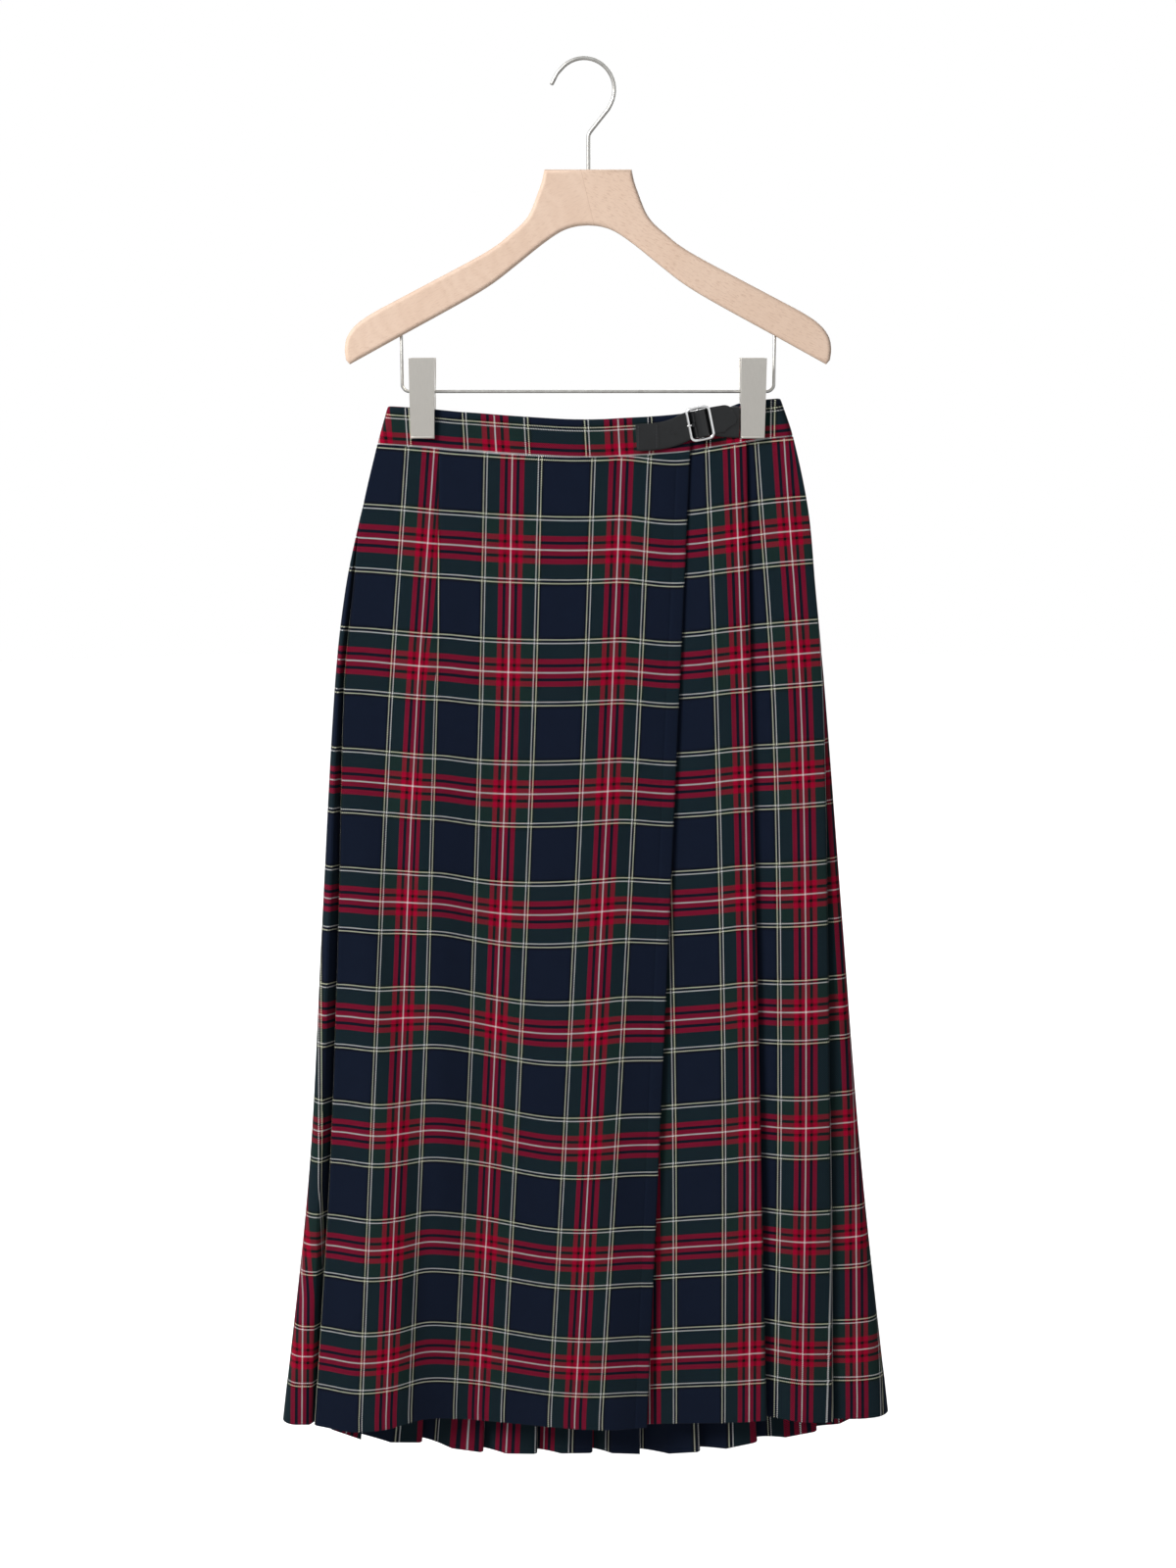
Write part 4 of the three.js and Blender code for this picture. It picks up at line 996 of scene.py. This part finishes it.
def leather_strip(name, line, node, thick=LEATHER_THICK, holes=(), corner=3.0):
    """A flat strip along a line of its middle, edges rounded, with the holes punched through it."""
    line = flow([(x, y, z, rest[0] if rest else STRAP_WIDTH) for x, y, z, *rest in line], 4)
    steps = np.linalg.norm(np.diff(line[:, :3], axis=0), axis=1)
    keep = np.concatenate([[True], steps > 0.05])
    line = line[keep]
    run = np.concatenate([[0], np.cumsum(np.linalg.norm(np.diff(line[:, :3], axis=0), axis=1))])
    dense = [d for d in (0.15, 0.5, 1.1, 2.0, corner) if d < run[-1] / 3]
    at = np.unique(np.concatenate([run, dense, run[-1] - np.array(dense)]))
    line = np.stack([np.interp(at, run, line[:, k]) for k in range(4)], 1)
    from_end = np.minimum(at, at[-1] - at)
    ahead = np.gradient(line[:, :3], axis=0)
    ahead /= np.linalg.norm(ahead, axis=1, keepdims=True)
    across = np.stack([-ahead[:, 2], 0 * at, ahead[:, 0]], 1)
    across /= np.linalg.norm(across, axis=1, keepdims=True)
    out = np.cross(across, ahead)
    out *= np.where(out[:, 1] > 0, -1, 1)[:, None]
    cut = np.where(
        from_end < corner, corner - np.sqrt(np.maximum(0, corner**2 - (corner - from_end) ** 2)), 0,
    )
    thin = 0.55 + 0.45 * np.minimum(1, from_end / 0.6)
    shares = [-1, -0.985, -0.955, -0.9, -0.7, -0.35, 0, 0.35, 0.7, 0.9, 0.955, 0.985, 1]
    heights = [0.25, 0.7, 0.93, 1, 1, 1, 1, 1, 1, 1, 0.93, 0.7, 0.25]
    loop = [(s, h) for s, h in zip(shares, heights)] + [
        (s, -h)
        for s, h in zip(shares[::-1], heights[::-1])
    ]
    points = [
        tuple(line[i, :3] + across[i] * s * (line[i, 3] / 2 - cut[i]) + out[i] * h * thin[i] * thick / 2)
        for i in range(len(at)) for s, h in loop
    ]
    n = len(loop)
    faces = [
        (i * n + k, (i + 1) * n + k, (i + 1) * n + (k + 1) % n, i * n + (k + 1) % n)
        for i in range(len(at) - 1)
        for k in range(n)
    ]
    faces += [tuple(range(n)), tuple(range((len(at) - 1) * n, len(at) * n))[::-1]]
    made = add_piece(name, points, faces, leather, "leather", node, sharp=60)
    shape = bmesh.new()
    shape.from_mesh(made.data)
    bmesh.ops.recalc_face_normals(shape, faces=shape.faces)
    shape.to_mesh(made.data)
    shape.free()
    for k, (x, y, z, radius) in enumerate(holes):
        punch = bmesh.new()
        bmesh.ops.create_cone(
            punch, cap_ends=True, segments=24, radius1=radius * MM, radius2=radius * MM, depth=0.008,
        )
        bmesh.ops.rotate(punch, verts=punch.verts, matrix=Matrix.Rotation(math.radians(90), 3, "X"))
        bmesh.ops.translate(punch, verts=punch.verts, vec=(x * MM + HOOK_SHIFT, y * MM, z * MM))
        mesh = bpy.data.meshes.new(f"punch_{k}")
        punch.to_mesh(mesh)
        punch.free()
        tool = bpy.data.objects.new(f"punch_{k}", mesh)
        scene.collection.objects.link(tool)
        punching = made.modifiers.new("punching", "BOOLEAN")
        punching.object, punching.operation, punching.solver = tool, "DIFFERENCE", "EXACT"
        bpy.context.view_layer.update()
        shaped = bpy.data.meshes.new_from_object(made.evaluated_get(bpy.context.evaluated_depsgraph_get()))
        made.modifiers.clear()
        face_outward(shaped)
        made.data = shaped
        bpy.data.objects.remove(tool)
    return made


leather = Finish(
    "black_leather", Roughness=0.4, IOR=1.5, Specular_IOR_Level=0.2, Coat_Weight=0.5, Coat_Roughness=0.16,
)
hide = leather.node("TexCoord", output=3)
pores = leather.node("TexVoronoi", {"feature": "DISTANCE_TO_EDGE"}, Vector=hide, Scale=1500.0)
wrinkles = leather.node("TexNoise", Vector=hide, Scale=420.0, Detail=5.0)
worn = leather.node("TexNoise", Vector=hide, Scale=70.0, Detail=3.0)
leather.feed(
    Base_Color=leather.node(
        "ValToRGB", {"stops": [(0.3, linear(8, 9, 10)), (0.75, linear(17, 18, 20))]},
        Fac=worn * 0.6 + wrinkles * 0.4,
    ),
    Roughness=0.24 + wrinkles * 0.16,
    Normal=leather.node("Bump", Height=pores * 0.5 + wrinkles, Strength=0.3, Distance=0.00025),
)

strap_line = [
    (40.7, ON_BAND, -302.6), (58.7, ON_BAND, -301.3), (73.3, ON_BAND, -297.6), spot_at(-10.5, ON_BAND),
    spot_at(-7.4, ON_BAND),
]
strap_line += [
    spot_at(-5.4, ON_BAND + (HUMP - ON_BAND) * 0.3), spot_at(-3.2, ON_BAND + (HUMP - ON_BAND) * 0.78),
    spot_at(-1.6, HUMP + 0.1), spot_at(0, HUMP - 0.1), spot_at(1.8, HUMP + 0.3), spot_at(3.6, HUMP + 1.6),
]
strap_line += [
    spot_at(5.6, ON_LEATHER + (HUMP - ON_LEATHER) * 0.3), spot_at(7.4, ON_LEATHER),
    spot_at(10.5, ON_LEATHER), (110, ON_LEATHER, -287.5), (114.6, ON_LEATHER, -287.2),
    (118, ON_LEATHER, -287.8, 16), (121, ON_LEATHER, -288.6, 9.5), (123.6, ON_LEATHER, -289.4, 4),
]
prong_hole = spot_at(-5.9, -9)
leather_strip(
    "strap_leather", strap_line, "strap", holes=[(70.4, ON_BAND, -298.6, 1.15), (*prong_hole[:3], 1.5)],
)
TURN_RADIUS = 2.3
chape_line = [
    spot_at(-0.6, OVER_BAR), spot_at(TURN_RADIUS * 0.7, CENTRE_BAR - TURN_RADIUS * 0.7),
    spot_at(TURN_RADIUS, CENTRE_BAR), spot_at(TURN_RADIUS + 1.5, ON_BAND - 1),
    spot_at(TURN_RADIUS + 3.8, ON_BAND), spot_at(10.5, ON_BAND),
]
chape_line += [(112, ON_BAND, -289.6, STRAP_WIDTH + 2.6), (125.9, ON_BAND, -290, STRAP_WIDTH + 3)]
leather_strip("chape_leather", chape_line, "chape", corner=1.0)
anchor_y = ON_BAND - 0.9 - 0.3 - 0.5
leather_strip(
    "keeper_patch",
    [
        (39.9, anchor_y, -302.65, STRAP_WIDTH - 0.4), (49, anchor_y, -302.0, STRAP_WIDTH - 0.4),
        (58.4, anchor_y, -301.3, STRAP_WIDTH - 0.4),
    ],
    "strap_anchor", thick=1.0, corner=0.8,
)

thread = Finish("waxed_thread", Roughness=0.6, Base_Color=linear(20, 20, 24))
twist = thread.node("TexNoise", Vector=thread.node("TexCoord", output=3), Scale=3000.0)
thread.feed(
    Base_Color=thread.node(
        "ValToRGB", {"stops": [(0.3, linear(14, 14, 18)), (0.7, linear(52, 52, 58))]}, Fac=twist,
    )
)


def stitches(name, ends, slot, finish, radius=0.28):
    """A row of stitches, each a short thread that dips in at both ends."""
    points, faces = [], []
    for (start, end, out) in ends:
        start, end, out = np.array(start, float), np.array(end, float), np.array(out, float)
        bowed = [
            start + (end - start) * t + out * (0.9 * radius * math.sin(math.pi * t) - 0.45 * radius)
            for t in (0, 0.2, 0.5, 0.8, 1)
        ]
        aside = np.cross(end - start, out)
        aside /= np.linalg.norm(aside)
        found, made = wire(bowed, radius, aside, 6)
        faces += [tuple(k + len(points) for k in face_points) for face_points in made]
        points += found
    return add_piece(name, points, faces, finish, slot)


sewn = []
for x in (41.6, 56.9):
    foot, top = -302.6 + (x - 39.9) * 0.073 - 9.8, -302.6 + (x - 39.9) * 0.073 + 9.8
    for t in np.arange(0, 8):
        z = foot + (top - foot) * (t + 0.16) / 8
        sewn.append(((x, anchor_y - 0.5, z), (x, anchor_y - 0.5, z + 1.6), (0, -1, 0)))
stitches("patch_stitches", sewn, "leather", thread)


# Buckle. Bright nickel-plated wire bent into a rounded rectangle with a middle bar, and a prong that
# comes up through the strap and rests on the frame's left side.
plated = Finish("bright_nickel", Metallic=1.0, Roughness=0.14)
plate_marks = plated.node("TexNoise", Vector=plated.node("TexCoord", output=3), Scale=1400.0, Detail=2.0)
plated.feed(
    Base_Color=plated.node(
        "ValToRGB", {"stops": [(0.3, linear(232, 231, 230)), (0.7, linear(246, 245, 244))]},
        Fac=plate_marks,
    ),
    Roughness=0.1 + plate_marks * 0.12,
)
BUCKLE_WIDE, BUCKLE_HIGH, BUCKLE_WIRE, BUCKLE_CORNER = 18.4, 26.2, 2.8, 3.6
half_wide, half_high = BUCKLE_WIDE / 2 - BUCKLE_CORNER, BUCKLE_HIGH / 2 - BUCKLE_CORNER
loop = []
for quarter, (sx, sz) in enumerate([(1, 1), (-1, 1), (-1, -1), (1, -1)]):
    for a in range(quarter * 90, quarter * 90 + 91, 15):
        loop.append(
            (
                sx * half_wide + BUCKLE_CORNER * math.cos(math.radians(a)),
                sz * half_high + BUCKLE_CORNER * math.sin(math.radians(a)),
            )
        )
    nx, nz = [(-1, 0), (0, -1), (1, 0), (0, 1)][quarter]
    reach = 2 * (half_wide if nx else half_high)
    loop += [(loop[-1][0] + nx * reach * t, loop[-1][1] + nz * reach * t) for t in (0.25, 0.5, 0.75)]
tilted = [
    (
        BUCKLE_X + u * math.cos(TILT) - v * math.sin(TILT),
        LEFT_SIDE + (RIGHT_SIDE - LEFT_SIDE) * (u / BUCKLE_WIDE + 0.5),
        BUCKLE_Z + u * math.sin(TILT) + v * math.cos(TILT),
    )
    for u, v in loop
]
around = np.array(tilted)
ahead = np.roll(around, -1, 0) - np.roll(around, 1, 0)
ahead /= np.linalg.norm(ahead, axis=1, keepdims=True)
frame_out = np.array([0, -1.0, 0])
aside = np.cross(frame_out, ahead)
SIDES = 18
ring_points = [
    tuple(p + s * BUCKLE_WIRE / 2 * math.cos(t) + frame_out * BUCKLE_WIRE / 2 * math.sin(t))
    for p, s in zip(around, aside) for t in 2 * np.pi * np.arange(SIDES) / SIDES
]
count = len(around)
ring_faces = [
    (
        i * SIDES + k, ((i + 1) % count) * SIDES + k, ((i + 1) % count) * SIDES + (k + 1) % SIDES,
        i * SIDES + (k + 1) % SIDES,
    )
    for i in range(count)
    for k in range(SIDES)
]
bar_ends = [
    (BUCKLE_X - v * math.sin(TILT), CENTRE_BAR, BUCKLE_Z + v * math.cos(TILT))
    for v in np.linspace(-half_high - 2.4, half_high + 2.4, 7)
]
bar_points, bar_faces = wire(bar_ends, BUCKLE_WIRE / 2, (0, -1, 0), 16)
bar_faces = [tuple(k + len(ring_points) for k in corners) for corners in bar_faces]
add_piece(
    "buckle_wire", ring_points + bar_points, ring_faces + bar_faces, plated, "bright_nickel",
    "buckle_frame",
)
REST = LEFT_SIDE - 1.1 - 0.3 - 0.85
prong_line = [
    spot_at(a, y)[:3]
    for a, y in ((-5.9, ON_BAND - 0.5), (-5.9, REST + 1.4), (-6.6, REST + 0.35), (-7.8, REST), (-11, REST))
]
add_piece(
    "prong_wire", *wire(flow(prong_line, 4), 0.85, (math.sin(TILT), 0, -math.cos(TILT)), 14), plated,
    "bright_nickel", "buckle_prong",
)
